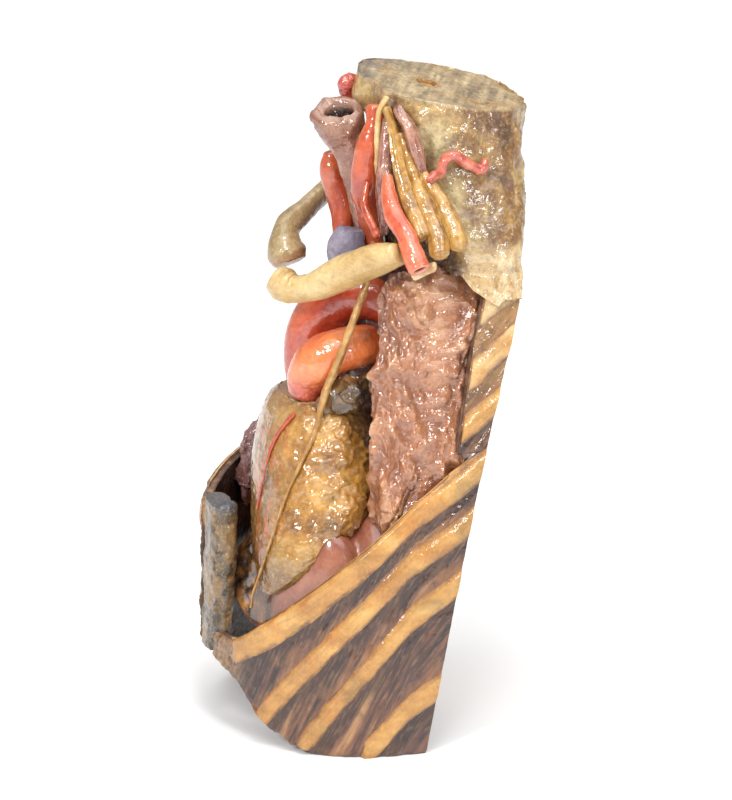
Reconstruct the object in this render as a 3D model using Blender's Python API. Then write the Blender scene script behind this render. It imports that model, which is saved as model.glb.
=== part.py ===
"""A torso anatomy model: a dissected neck and chest, life size, cut flat at the neck, the back and the base.

Every length is in millimetres until MM turns it into metres. +X is the torso's own left, +Y its back, +Z up.
The chest wall is a surface given by a turn in degrees (0 at the breastbone, 90 at the flank) and a height.
"""

import math

import bmesh
import bpy
import numpy as np
from mathutils import Vector

MM = 0.001
GAP = 0.6  # between pieces that touch on the real object

# Driving dimensions
HEIGHT_MIDDLE = 419.5  # the neck cut's height above the origin of the design
BASE_BACK_Y = 11.9  # where the cut back meets the base
BACK_LEAN = 0.136  # the cut back's lean at the base, as run over rise
BACK_CURVE = 0.00034  # how fast that lean grows with height
FRAME_Y = 5.0  # moves the whole object so that its box is centred
WALL_THICK = 9.5
RIB_DEPTH = 3.0
RIB_SIDE_DEPTH = 1.1
RIM_SLOPE = 0.55  # the windpipe's rim falls this much towards the left

# The chest's level sections: height, half width, centre, depth in front of the centre
CHEST_Z = (0, 70, 134, 200, 260, 290, 315, 340)
CHEST_HALF = (106, 112, 110, 103, 92, 82, 72, 66)
CHEST_MID = (0, 0, 3, 8, 20, 30, 38, 42)
CHEST_FRONT = (111.5, 111, 113, 112, 112, 112, 112, 112)
CHEST_REAR = 180.0  # the flank's long rear radius

# The lower edge of the wall, and the upper edge of each half, by turn
FOOT_TURN = (10, 18, 26, 31, 42, 52, 63)
FOOT_Z = (55, 50, 38, 26, 11, 4, 0)
LEFT_TOP_TURN = (10, 22, 29, 45, 60, 78, 92, 104)
LEFT_TOP_Z = (64, 66, 73, 95, 118, 147, 171, 203)
RIGHT_TOP_TURN = (10, 30, 60, 78, 92, 104)
RIGHT_TOP_Z = (143, 147, 163, 187, 217, 244)
CUT_TURN = 101.0  # about where the wall meets the cut back
STRIP_TURN = 98.0  # the front edge of the wall's upper strip
STRIP_TOP_Z = 308.0

# Each rib: centre heights at turns 45, 75 and 105, half height, and the turns that it spans on each side
RIB_TURNS = (45, 75, 105)
RIBS = {
    "rib_3": ((160, 226, 300), 10.5, None, None),
    "rib_4": ((135, 190, 260), 9.5, None, None),
    "rib_5": ((108, 160, 226), 9.5, None, 27),
    "rib_6": ((85, 132, 191), 11.0, 27, 15),
    "rib_7": ((34, 97, 159), 9.5, 38, 34),
    "rib_8": ((-19, 56, 126), 9.5, 57, 57),
    "rib_9": ((-62, 0, 66), 10.5, 80, 80),
}
RIGHT_LIFT = {
    "rib_5": (47, 20, 0),
    "rib_6": (38, 12, 0),
    "rib_7": (38, 10, 0),
    "rib_8": (30, 6, 0),
    "rib_9": (20, 4, 0),
}

# Heart sections from top to apex: height, centre x, centre y, half width, half depth
HEART = (
    (219, 10, -41, 34, 22),
    (211, 10, -39, 47, 31),
    (190, 13, -38, 54, 38),
    (165, 18, -39, 56, 40),
    (140, 26, -47, 52, 34),
    (122, 36, -58, 40, 25),
    (108, 42, -69, 27, 13),
    (100, 47, -76, 13, 6.5),
)

# Painted resin: name, colour, roughness
FINISHES = {
    "bone": ((0.72, 0.58, 0.33), 0.45),
    "rib_bone": ((0.76, 0.50, 0.17), 0.4),
    "artery_red": ((0.80, 0.20, 0.09), 0.32),
    "vein_blue": ((0.30, 0.30, 0.40), 0.5),
    "nerve_yellow": ((0.76, 0.50, 0.16), 0.38),
    "neck_tissue": ((0.48, 0.36, 0.20), 0.4),
    "lung_brown": ((0.48, 0.26, 0.17), 0.3),
    "muscle_purple": ((0.24, 0.15, 0.13), 0.35),
    "muscle_pink": ((0.46, 0.22, 0.17), 0.32),
    "heart_fat": ((0.55, 0.36, 0.13), 0.3),
    "auricle_brown": ((0.28, 0.20, 0.11), 0.3),
    "airway_brown": ((0.36, 0.21, 0.15), 0.35),
    "diaphragm_pink": ((0.46, 0.22, 0.19), 0.28),
}


# --- Blender helpers ---------------------------------------------------------------------------------------


def clear_scene():
    for obj in list(bpy.data.objects):
        bpy.data.objects.remove(obj)


def make_finish(name):
    """One Principled material for a painted resin."""
    colour, roughness = FINISHES[name]
    material = bpy.data.materials.new(name)
    material.use_nodes = True
    shader = material.node_tree.nodes["Principled BSDF"]
    shader.inputs["Base Color"].default_value = (*colour, 1.0)
    shader.inputs["Roughness"].default_value = roughness
    shader.inputs["Metallic"].default_value = 0.0
    return material


def loft(name, rings, finish, smooth_angle=40):
    """A closed solid: each ring of points is bridged to the next, and both end rings are capped."""
    bm = bmesh.new()
    rows = [[bm.verts.new(Vector(p) * MM) for p in ring] for ring in rings]
    count = len(rows[0])
    for low, high in zip(rows, rows[1:]):
        for i in range(count):
            j = (i + 1) % count
            bm.faces.new((low[i], low[j], high[j], high[i]))
    bm.faces.new(rows[0][::-1])
    bm.faces.new(rows[-1])
    bmesh.ops.recalc_face_normals(bm, faces=bm.faces)
    if bm.calc_volume(signed=True) < 0:
        bmesh.ops.reverse_faces(bm, faces=bm.faces)
    mesh = bpy.data.meshes.new(name)
    bm.to_mesh(mesh)
    bm.free()
    mesh.shade_smooth()
    mesh.set_sharp_from_angle(angle=math.radians(smooth_angle))
    mesh.materials.append(finishes[finish])
    obj = bpy.data.objects.new(name, mesh)
    bpy.context.scene.collection.objects.link(obj)
    obj.parent = stand
    return obj


def mirrored(rings):
    """The same rings on the torso's right."""
    return [[(-x, y, z) for x, y, z in ring] for ring in rings]


# --- Curves and sections -----------------------------------------------------------------------------------


def smooth_path(points, steps):
    """Points along a Catmull-Rom curve through the given ones, with any extra columns carried along."""
    p = np.array(points, float)
    ends = np.vstack([2 * p[0] - p[1], p, 2 * p[-1] - p[-2]])
    path = []
    for t in np.linspace(0, len(p) - 1, steps):
        i = min(int(t), len(p) - 2)
        f = t - i
        a, b, c, d = ends[i : i + 4]
        square = (2 * a - 5 * b + 4 * c - d) * f**2
        cube = (3 * b - a - 3 * c + d) * f**3
        path.append(0.5 * (2 * b + (c - a) * f + square + cube))
    return np.array(path)


def tube_rings(route, steps=10, sides=8, flat=1.0, start=None):
    """Rings of a swept tube whose route points are x, y, z, radius.

    flat shrinks it across, start fixes its first ring's normal.
    """
    path = smooth_path(route, steps)
    centre, radius = path[:, :3], path[:, 3]
    along = np.gradient(centre, axis=0)
    along /= np.linalg.norm(along, axis=1)[:, None]
    if start is not None:
        along[0] = start
    side = np.cross(along[0], (0.3, 0.9, 0.1))
    rings = []
    for c, t, r in zip(centre, along, radius):
        side = side - t * (side @ t)
        side /= np.linalg.norm(side)
        other = np.cross(t, side)
        turns = (2 * math.pi * k / sides for k in range(sides))
        rings.append([c + r * (math.cos(a) * side + flat * math.sin(a) * other) for a in turns])
    return rings


def bored(rings, wall, depth_rings):
    """The tube's rings, turned in at the last one and led back down the bore to its blind end."""
    inner = []
    for ring in rings[-depth_rings:][::-1]:
        ring = np.array(ring)
        middle = ring.mean(axis=0)
        out = ring - middle
        size = np.linalg.norm(out, axis=1)[:, None]
        inner.append(list(middle + out * (size - wall) / size))
    return rings + inner


def oval(x, y, z, half_x, half_y, sides, power=2.0):
    """A level superellipse ring."""
    ring = []
    for k in range(sides):
        a = 2 * math.pi * k / sides
        c, s = math.cos(a), math.sin(a)
        across = half_x * math.copysign(abs(c) ** (2 / power), c)
        deep = half_y * math.copysign(abs(s) ** (2 / power), s)
        ring.append((x + across, y + deep, z))
    return ring


# --- The chest wall as a surface ---------------------------------------------------------------------------


def back_y(z):
    """The cut back: flat and leaning, then curving out to the nape."""
    return BASE_BACK_Y + BACK_LEAN * z + BACK_CURVE * z**2


def back_ridge(z):
    """How far the spine and its muscles stand out behind the cut back, which is what the object leans on."""
    return 20 * (1 - (z / 304) ** 2)


def chest_section(z):
    """Half width, centre and front depth of the chest at a height."""
    return tuple(float(np.interp(z, CHEST_Z, row)) for row in (CHEST_HALF, CHEST_MID, CHEST_FRONT))


def back_turn(z):
    """The turn at which the wall meets the cut back."""
    middle = chest_section(z)[1]
    return 90 + math.degrees(math.asin((back_y(z) - middle) / CHEST_REAR))


def wall_point(turn, z, inset=0.0):
    """A point on the left wall, inset from its outer surface."""
    half, middle, front = chest_section(z)
    a = math.radians(turn)
    if turn <= 90:
        return ((half - inset) * math.sin(a), middle - (front - inset) * math.cos(a), z)
    return ((half - inset) * math.sin(a), middle - CHEST_REAR * math.cos(a), z)


def wall_x(y, z, inset):
    """How far to the left the wall reaches at a depth and height."""
    half, middle, front = chest_section(z)
    reach = (front - inset) if y < middle else CHEST_REAR
    share = min(0.98, abs(y - middle) / reach)
    return (half - inset) * math.sqrt(1 - share**2)


def lagrange(turn, heights):
    """A parabola through the heights at the three rib turns."""
    a, b, c = RIB_TURNS
    u, v, w = heights
    return (
        u * (turn - b) * (turn - c) / ((a - b) * (a - c))
        + v * (turn - a) * (turn - c) / ((b - a) * (b - c))
        + w * (turn - a) * (turn - b) / ((c - a) * (c - b))
    )


def wall_sheet(first, count, low, high, inner, outer, rows=5):
    """Rings of a curved sheet from a first turn back to the cut: up the outer face and down the inner one."""
    rings = []
    for share in np.linspace(0, 1, count):
        turn = first + (CUT_TURN - first) * share
        ring = []
        for inset, order in ((outer, range(rows)), (inner, reversed(range(rows)))):
            for k in order:
                z = low(turn) + (high(turn) - low(turn)) * k / (rows - 1)
                ring.append(wall_point(first + (back_turn(z) - first) * share, z, inset))
        rings.append(ring)
    return rings


# --- Organs ------------------------------------------------------------------------------------------------


def dome(x, y):
    """The diaphragm's upper surface: a flat-topped dome on a rim higher at the back, low under the heart."""
    reach = math.hypot(x / 101.0, (y + 4) / 101.0)
    rim = 62 + 0.42 * (y + 60)
    rise = 76 * math.sqrt(max(0.0, 1 - min(reach, 1.0) ** 4))
    heart_bed = 34 * math.exp(-(((x - 34) / 28) ** 2) - ((y + 66) / 26) ** 2)
    right_bed = 16 * math.exp(-(((x + 48) / 30) ** 2) - ((y + 66) / 26) ** 2)
    return rim + rise - heart_bed - right_bed


def heart_rings(sides=20, steps=13):
    """The heart's level sections, lifted where they would enter the diaphragm."""
    sections = smooth_path(HEART, steps)
    rings = [oval(x, y, z, rx, ry, sides, 2.2) for z, x, y, rx, ry in sections]
    return [[(x, y, max(z, dome(x, y) + 3.0)) for x, y, z in ring] for ring in rings]


def heart_skin(z, angle, off):
    """A point off the heart's surface, at an angle from +X towards +Y in degrees."""
    sections = sorted(HEART)
    heights = [s[0] for s in sections]
    x, y, rx, ry = (float(np.interp(z, heights, [s[k] for s in sections])) for k in (1, 2, 3, 4))
    a = math.radians(angle)
    c, s = math.cos(a), math.sin(a)
    return (
        x + (rx + off) * math.copysign(abs(c) ** 0.91, c),
        y + (ry + off) * math.copysign(abs(s) ** 0.91, s),
        z,
    )


def lung_rings(front_of, inner_front, inner_back, base, top, sides=20, steps=13):
    """Level sections with rounded corners between the wall, the cut back and the middle of the chest."""
    rings = []
    for v in np.linspace(0, 1, steps):
        z = base + (top - base) * (0.5 - 0.5 * math.cos(math.pi * v))
        size = max(0.12, (1 - abs(2 * v - 1) ** 5) ** 0.45)
        front, back = front_of(z), back_y(z) - 0.5
        ring = []
        for k in range(sides):
            a = 2 * math.pi * (k + 0.5) / sides
            p = math.copysign(abs(math.cos(a)) ** 0.45, math.cos(a)) * size
            q = math.copysign(abs(math.sin(a)) ** 0.45, math.sin(a)) * size
            y = front + (back - front) * (q + 1) / 2
            inner = inner_front + (inner_back - inner_front) * (q + 1) / 2
            outer = wall_x(y, z, WALL_THICK + 1.2)
            x = inner + (outer - inner) * (p + 1) / 2
            ring.append((x, y, max(z, dome(x, y) + 5.8)))
        rings.append(ring)
    return rings


def diaphragm_rings(sides=32, steps=7):
    """A thin dome: rings run out over the top, round the rim and back in underneath."""
    upper, lower = [], []
    for r in np.linspace(0.08, 1, steps) ** 0.8:
        top, under = [], []
        for k in range(sides):
            a = 2 * math.pi * k / sides
            x, y = 99.5 * r * math.cos(a), 1.5 + 95 * r * math.sin(a)
            share = min(1.0, max(0.0, (abs(x) - 16) / 24))
            y = min(y, (10 + 15 * share * share * (3 - 2 * share)) * (0.7 + 0.3 * r))
            top.append((x, y, dome(x, y)))
            under.append((x * 0.985, y * 0.985, dome(x, y) - 4.5))
        upper.append(top)
        lower.append(under)
    return upper + lower[::-1]


def column_rings(sides=12, steps=31):
    """Vertebral bodies and discs, rounded in front and cut by the flat back behind."""
    rings = []
    for z in np.linspace(0.0, 304.0, steps):
        middle = float(np.interp(z, (0, 100, 180, 250, 304), (0, 20, 34, 43, 46)))
        disc = 1.2 * math.cos(2 * math.pi * z / 25.0)
        ring = []
        for k in range(sides):
            a = 2 * math.pi * k / sides
            x, y = (16 + disc) * math.cos(a), middle + (16 + disc) * math.sin(a)
            if math.sin(a) > 0.3:
                y = back_y(z) + back_ridge(z)
            ring.append((x, y, z))
        rings.append(ring)
    return rings


def neck_rings(sides=28):
    """The neck's muscles from above the lungs to the cut, which tilts to the left and the back."""
    rings = []
    for z, half, front, back, power in (
        (309.5, 79, 10, 85, 5.0),
        (328, 71, 9, 91, 4.2),
        (350, 62, 8, 95, 3.4),
        (375, 56, 7, 98, 2.9),
        (392, 55, 4, 99, 2.6),
        (402, 54, 0, 100, 2.4),
        (None, 53, -2, 101, 2.3),
    ):
        middle, deep = (front + back) / 2, (back - front) / 2
        front_half = [p for p in oval(0, middle, z or 0, half, deep, sides, 2.7) if p[1] < middle - 0.01]
        back_half = [p for p in oval(0, middle, z or 0, half, deep, sides, power) if p[1] >= middle - 0.01]
        ring = back_half + front_half
        if z is None:
            ring = [(x, y, neck_cut(x, y)) for x, y, _ in ring]
        elif z > 380:
            ring = [(x, y, z + 0.6 * (neck_cut(x, y) - HEIGHT_MIDDLE + 5)) for x, y, _ in ring]
        rings.append(ring)
    return rings


def neck_cut(x, y):
    """Height of the tilted plane that cuts the neck."""
    return HEIGHT_MIDDLE - 0.13 * x - 0.155 * y


# --- The pieces --------------------------------------------------------------------------------------------


def foot(turn):
    return float(np.interp(turn, FOOT_TURN, FOOT_Z))


def left_top(turn):
    return float(np.interp(turn, LEFT_TOP_TURN, LEFT_TOP_Z))


def right_top(turn):
    return float(np.interp(turn, RIGHT_TOP_TURN, RIGHT_TOP_Z))


def build_walls():
    """The muscle layer of the chest wall: a lower half and an upper strip on each side."""
    inner, outer = WALL_THICK, RIB_DEPTH + GAP
    for side, top in (("left", left_top), ("right", right_top)):
        rings = wall_sheet(10.5, 20, foot, top, inner, outer)
        loft(f"{side}_lower_chest_muscle", rings if side == "left" else mirrored(rings), "muscle_purple")
        rings = wall_sheet(STRIP_TURN, 3, lambda t: top(101) + GAP, lambda t: STRIP_TOP_Z, inner, outer, 9)
        loft(f"{side}_upper_chest_muscle", rings if side == "left" else mirrored(rings), "muscle_purple")


def rib_rings(heights, half, first, top, floor):
    """A flat band with rounded edges that lies on the muscle, inside the wall's edges."""
    last = 100.0
    for _ in range(20):
        last = back_turn(lagrange(last, heights))
    rings = []
    for share in np.linspace(0, 1, max(3, int((last - first) / 6))):
        turn = first + (last - first) * share
        z = lagrange(turn, heights)
        ring = []
        for lift, inset in (
            (-1, RIB_DEPTH),
            (-1, RIB_SIDE_DEPTH),
            (-0.45, 0),
            (0.45, 0),
            (1, RIB_SIDE_DEPTH),
            (1, RIB_DEPTH),
        ):
            level = min(max(z + lift * half, floor(turn)), top(turn))
            ring.append(wall_point(first + (back_turn(level) - first) * share, level, inset))
        rings.append(ring)
    return rings


def build_ribs():
    """Ribs 3 to 9 on each side. The upper ones are stubs on the strip behind the lung."""
    for name, (heights, half, left_first, right_first) in RIBS.items():
        for side, first, margin in (("left", left_first, left_top), ("right", right_first, right_top)):
            lift = RIGHT_LIFT.get(name, (0, 0, 0)) if side == "right" else (0, 0, 0)
            lifted = tuple(h + d for h, d in zip(heights, lift))
            stub = first is None
            top = (lambda t: STRIP_TOP_Z) if stub else margin
            rings = rib_rings(lifted, half, STRIP_TURN + 0.3 if stub else first, top, foot)
            loft(f"{side}_{name}", rings if side == "left" else mirrored(rings), "rib_bone")


def build_sternum():
    """The lower end of the breastbone, left standing in front."""
    rings = []
    for z, x, y, half, deep in (
        (50, 0, -105.5, 15, 5),
        (66, 0, -103.5, 17, 5.5),
        (95, 1, -101.5, 16.5, 6),
        (130, 1, -100.5, 16.5, 6.5),
        (147, 0, -99.5, 17, 7),
    ):
        rings.append(oval(x, y, z, half, deep, 12, 3.0))
    loft("breastbone", rings, "bone")


def build_neck():
    block = loft("neck_muscles", neck_rings(), "neck_tissue")
    turns = np.linspace(0, 2 * math.pi, 12, endpoint=False)
    ring = [(6 * math.cos(a), 40 + 5 * math.sin(a), 0) for a in turns]
    rings = [[(x, y, neck_cut(x, y) - drop) for x, y, _ in ring] for drop in (14, 1.5)]
    loft("spinal_cord", rings, "nerve_yellow")
    wide = [(x * 1.35, 40 + (y - 40) * 1.35) for x, y, _ in ring]
    rings = [[(x, y, neck_cut(x, y) - drop) for x, y in wide] for drop in (15, -5)]
    pocket = loft("canal_cutter", rings, "bone")
    pocket.hide_render = True
    pocket.display_type = "WIRE"
    cut = block.modifiers.new("canal", "BOOLEAN")
    cut.operation = "DIFFERENCE"
    cut.object = pocket


def build_tubes():
    """Arteries, veins, nerves and strap muscles, each a tube along its own smooth route."""
    for name, (finish, flat, route) in TUBES.items():
        loft(name, tube_rings(route, steps=max(7, 3 * len(route) - 4), flat=flat), finish)


TUBES = {
    "left_carotid_artery": (
        "artery_red",
        1.0,
        (
            (13, 3, 299, 5.5),
            (14, 1.5, 317, 5.5),
            (21, -5, 336, 6.5),
            (27, -8, 354, 8),
            (30, -7, 377, 7.5),
            (30, -2.5, 393, 6),
            (28, -2.5, 403, 5.5),
        ),
    ),
    "right_carotid_artery": (
        "artery_red",
        1.0,
        (
            (-9, -13, 297, 5.5),
            (-10, -12.5, 307, 5.5),
            (-11, -12, 319, 6),
            (-15, -11, 331, 7.5),
            (-21, -14, 346, 8),
            (-21, -17, 358, 7.5),
            (-20, -18, 366, 5),
        ),
    ),
    "aorta": (
        "artery_red",
        1.0,
        (
            (-4, -36, 225, 16),
            (0, -37, 240, 17),
            (4, -34, 260, 17.5),
            (12, -22, 276, 16.5),
            (22, -6, 281, 14.5),
            (30, 10, 272, 12),
            (33, 18, 252, 11),
        ),
    ),
    "pulmonary_trunk": (
        "artery_red",
        1.0,
        (
            (26, -51, 225, 13.5),
            (29, -49, 234, 15),
            (38, -43, 245, 15.5),
            (43, -31, 252, 14),
            (42, -18, 254, 13.5),
            (40, -7, 254, 12),
        ),
    ),
    "left_pulmonary_vein": ("auricle_brown", 1.0, ((45, -15, 231, 5), (46, -8, 231, 6.5), (46, 0, 231, 6.5))),
    "left_auricle": (
        "auricle_brown",
        1.0,
        (
            (54, -33, 219, 3),
            (54, -29, 222, 9),
            (54, -23, 227, 10),
            (53, -18, 231, 3),
        ),
    ),
    "brachiocephalic_vein": (
        "vein_blue",
        1.2,
        (
            (13, -17, 299, 8),
            (14, -17, 307, 9.5),
            (15, -16.5, 316, 9.5),
            (16, -15, 325, 7),
        ),
    ),
    "superior_vena_cava": (
        "vein_blue",
        1.0,
        (
            (-34, -32, 222, 8.5),
            (-34, -29, 240, 9),
            (-33, -26, 258, 8.5),
            (-31, -23, 272, 7.5),
        ),
    ),
    "left_vagus_nerve": (
        "nerve_yellow",
        1.0,
        (
            (45, 1, 412, 1.8),
            (42.5, -3, 403, 1.8),
            (41, -3.5, 391, 1.9),
            (40, -3.5, 372, 1.9),
            (38, -1.5, 355, 1.6),
        ),
    ),
    "left_front_plexus_cord": (
        "nerve_yellow",
        1.0,
        (
            (46, 1, 404, 2.8),
            (51, 4, 390, 3.2),
            (58, 5, 370, 3.4),
            (66, 8, 352, 4),
            (76, 11.5, 340, 4.6),
            (84, 13.3, 332, 4.6),
        ),
    ),
    "left_middle_plexus_cord": (
        "nerve_yellow",
        1.0,
        (
            (66, 17, 356, 3.4),
            (75, 21, 342, 4.2),
            (86, 23, 330, 5.2),
            (94, 22, 322, 5),
        ),
    ),
    "left_rear_plexus_cord": (
        "nerve_yellow",
        1.0,
        (
            (65, 26, 358, 3),
            (76, 31, 343, 4.5),
            (87, 34, 331, 5.5),
            (92, 35, 325, 5),
        ),
    ),
    "left_front_scalene_muscle": (
        "muscle_pink",
        0.8,
        (
            (41, 2, 397, 3),
            (44.5, 1, 380, 5),
            (48.5, -1, 360, 6),
            (52, -2, 342, 5.5),
            (54, -3, 331, 3.5),
        ),
    ),
    "left_middle_scalene_muscle": (
        "muscle_pink",
        0.45,
        (
            (50, 7.5, 404, 4),
            (56.5, 13, 392, 5.5),
            (61.5, 17, 376, 5),
            (63.5, 20, 364, 2.5),
        ),
    ),
    "left_subclavian_artery": (
        "artery_red",
        1.0,
        (
            (63, -3, 363, 4.5),
            (71, -2.5, 346, 6),
            (85, 2, 334, 6.2),
            (96, 5, 321, 7),
            (100, 7, 315, 7),
        ),
    ),
    "left_thyrocervical_artery": (
        "artery_red",
        1.0,
        (
            (40, -10, 358, 2),
            (44, -12.5, 344, 2.5),
            (55, -10, 333, 2.6),
            (63, -9.5, 329, 2.6),
        ),
    ),
    "left_neck_artery": (
        "artery_red",
        1.0,
        (
            (72, 21, 364, 2.3),
            (67, 26, 366, 2.5),
            (62.5, 31, 366, 2.6),
            (62, 34, 374, 2.6),
            (62, 40, 376.5, 2.7),
            (61.5, 49, 371, 2.7),
            (61.5, 58, 367, 2.7),
            (60, 61, 373, 2.4),
        ),
    ),
    "left_clavicle": (
        "bone",
        0.72,
        (
            (18, -67, 295, 10),
            (22, -62, 292, 16),
            (31, -52, 291, 12),
            (44, -41, 296, 12.5),
            (60, -26, 308, 14),
            (74, -12, 317, 13),
            (86, -3, 322, 9),
        ),
    ),
    "right_clavicle": (
        "bone",
        0.8,
        (
            (-22, -45, 299, 9),
            (-25, -47, 306, 12.5),
            (-33, -44, 319, 11),
            (-46, -32, 328, 9.5),
            (-63, -16, 333, 9.5),
            (-80, 0, 336, 9.5),
        ),
    ),
    "left_first_rib_end": ("bone", 0.6, ((86, 8, 308, 3.5), (92, 13, 312.5, 3.8), (97, 17, 315, 3.4))),
    "right_vertebral_artery": (
        "artery_red",
        1.0,
        (
            (-20, -7, 398, 3),
            (-20, -8.5, 405, 4),
            (-19, -8, 412, 4.4),
            (-18, -6, 417, 3.2),
        ),
    ),
}

MIRRORED_TUBES = {
    "left_front_plexus_cord": "right_front_plexus_cord",
    "left_middle_plexus_cord": "right_middle_plexus_cord",
    "left_rear_plexus_cord": "right_rear_plexus_cord",
    "left_front_scalene_muscle": "right_front_scalene_muscle",
}


def build_airway():
    """The windpipe, open at its wide upper end."""
    route = ((-2, 6, 290, 6.5), (-1.5, 2.3, 306, 6.5), (0, 0, 324, 6.5), (4, -5, 350, 8))
    route += ((4, -10, 374, 10), (2, -16, 388, 12), (1, -18, 397, 12.5))
    rings = tube_rings(route, steps=12, sides=12, flat=1.25)
    for share, ring in zip((0.25, 0.5, 0.75, 1.0), rings[-4:]):
        middle = sum(p[0] for p in ring) / len(ring)
        ring[:] = [p + np.array((0, 0, -RIM_SLOPE * share * (p[0] - middle))) for p in ring]
    loft("windpipe", bored(rings, 3.6, 4), "airway_brown")


def build_heart():
    """The heart, and the vessel and nerve that lie on it."""
    loft("heart", heart_rings(), "heart_fat")
    groove = ((211, -50, 1.6), (196, -62, 1.8), (174, -72, 1.6), (150, -80, 1.2))
    artery = [(*heart_skin(z, angle, 2.6), r) for z, angle, r in groove]
    loft("left_coronary_artery", tube_rings(artery, 9, 6), "artery_red")
    nerve = [(57, -8, 300, 1.8), (60, -20, 276, 2.0), (60, -34, 246, 2.3)]
    down_heart = ((222, -22), (200, -26), (165, -38), (130, -46))
    nerve += [(*heart_skin(z, angle, 4.6), 1.7) for z, angle in down_heart]
    nerve += [(53, -87, 98, 1.6), (50, -88, 88, 1.6)]
    loft("left_phrenic_nerve", tube_rings(nerve, 20, 6, 0.7), "nerve_yellow")


def build_chest_organs():
    left_front = lambda z: float(np.interp(z, (145, 161, 211, 286), (-14, -17, -17, -11)))
    right_front = lambda z: float(np.interp(z, (120, 170, 211, 286), (-74, -66, -12, -4)))
    loft("left_lung", lung_rings(left_front, 68, 36, 128, 306), "lung_brown")
    loft("right_lung", mirrored(lung_rings(right_front, 62, 37, 116, 306)), "lung_brown")
    loft("diaphragm", diaphragm_rings(), "diaphragm_pink")
    loft("backbone", column_rings(), "bone")
    for side, sign in (("left", 1), ("right", -1)):
        rings = []
        for z in np.linspace(0, 304, 12):
            front, back, ridge = back_y(z) - 22.5, back_y(z) - 0.5, back_ridge(z)
            outline = ((19, front), (26, front - 2), (33, front + 3), (34, back))
            outline += ((33, back + 0.4 * ridge), (28, back + 0.75 * ridge), (19, back + 0.8 * ridge))
            rings.append([(sign * x, y, z) for x, y in outline])
        loft(f"{side}_back_muscle", rings, "muscle_purple")


clear_scene()
stand = bpy.data.objects.new("stand", None)
stand.location = (0, FRAME_Y * MM, 0)
bpy.context.scene.collection.objects.link(stand)
finishes = {name: make_finish(name) for name in FINISHES}

build_walls()
build_ribs()
build_sternum()
build_neck()
build_tubes()
build_airway()
build_heart()
build_chest_organs()
for source, name in MIRRORED_TUBES.items():
    finish, flat, route = TUBES[source]
    loft(name, mirrored(tube_rings(route, steps=3 * len(route) - 4, flat=flat)), finish)
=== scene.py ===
"""The looks of a torso anatomy model: a painted resin cast of a dissected neck and chest, life size.

Shapes are worked out in millimetres in the same frame as the solid model, then written in metres.
The chest wall is a surface given by a turn in degrees, 0 at the breastbone and 90 at the flank, and a height.
Colours are six-digit codes. The last number given to cloud and creases is the seed of that pattern.
"""

import math

import bpy
import numpy as np
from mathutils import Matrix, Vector


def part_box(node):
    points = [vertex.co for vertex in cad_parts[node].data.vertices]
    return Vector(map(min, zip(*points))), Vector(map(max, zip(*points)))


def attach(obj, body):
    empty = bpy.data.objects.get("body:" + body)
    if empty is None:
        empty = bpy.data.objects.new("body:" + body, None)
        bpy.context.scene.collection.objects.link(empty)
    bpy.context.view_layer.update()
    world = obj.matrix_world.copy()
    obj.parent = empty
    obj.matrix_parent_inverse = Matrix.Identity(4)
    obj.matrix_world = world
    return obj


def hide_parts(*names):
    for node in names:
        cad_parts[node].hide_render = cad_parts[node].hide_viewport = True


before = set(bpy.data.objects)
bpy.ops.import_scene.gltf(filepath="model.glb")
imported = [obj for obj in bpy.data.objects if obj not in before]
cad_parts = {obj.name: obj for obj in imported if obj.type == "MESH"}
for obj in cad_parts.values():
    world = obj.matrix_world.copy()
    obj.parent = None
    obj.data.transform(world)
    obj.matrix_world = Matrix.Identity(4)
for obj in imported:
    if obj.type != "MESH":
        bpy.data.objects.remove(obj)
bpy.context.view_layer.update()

MM = 0.001
cord_low, cord_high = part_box("spinal_cord")
CORD_Y = 40.0  # the spinal cord's own place, which ties these shapes to the solid model's frame
FRAME_Y = (cord_low.y + cord_high.y) / 2 / MM - CORD_Y
TO_RIGHT = np.array((-1, 1, 1))  # turns a left-hand shape into its right-hand mirror image


# --- Noise ---------------------------------------------------------------------------------------------------


def lattice_value(cell, seed):
    """A repeatable random value from -1 to 1 for each whole-number cell: its three indices mixed by large primes."""
    i, j, k = (cell[..., n].astype(np.int64) for n in range(3))
    h = (i * 374761393 + j * 668265263 + k * 2147483647 + seed * 974634777) & 0xFFFFFFFF
    h = ((h ^ (h >> 13)) * 1274126177) & 0xFFFFFFFF
    h = ((h ^ (h >> 16)) * 2246822519) & 0xFFFFFFFF
    return (h ^ (h >> 15)) % 65536 / 32767.5 - 1.0


def noise(points, size, seed=0):
    """Smooth noise: random values at the corners of cells of this size, blended by a fifth-degree curve."""
    p = np.asarray(points, float) / size
    cell = np.floor(p)
    f = p - cell
    w = f * f * f * (f * (f * 6 - 15) + 10)
    total = 0.0
    for corner in np.ndindex(2, 2, 2):
        share = np.prod(np.where(np.array(corner) == 1, w, 1 - w), axis=-1)
        total = total + share * lattice_value(cell + np.array(corner), seed)
    return total


def cloud(points, size, octaves=3, seed=0):
    """A sum of noises, each half the size and half the strength of the one before."""
    total, strength, most = 0.0, 1.0, 0.0
    for n in range(octaves):
        total = total + strength * noise(points, size / 2**n, seed + 17 * n)
        most += strength
        strength *= 0.5
    return total / most


def creases(points, size, octaves=2, seed=0):
    """Sharp ridges from 0 to 1: one less the height of a cloud either side of nought, to the fourth power."""
    return (1 - np.abs(cloud(points, size, octaves, seed))) ** 4


def step(low, high, value):
    """0 below low, 1 above high and a smooth S between them."""
    t = np.clip((np.asarray(value, float) - low) / (high - low), 0, 1)
    return t * t * (3 - 2 * t)


def spot(points, centre, reach):
    """A soft blob: 1 at the centre, falling as a bell curve over the reach along X, Y and Z."""
    return np.exp(-(((points - np.array(centre, float)) / np.array(reach, float)) ** 2).sum(-1))


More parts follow.
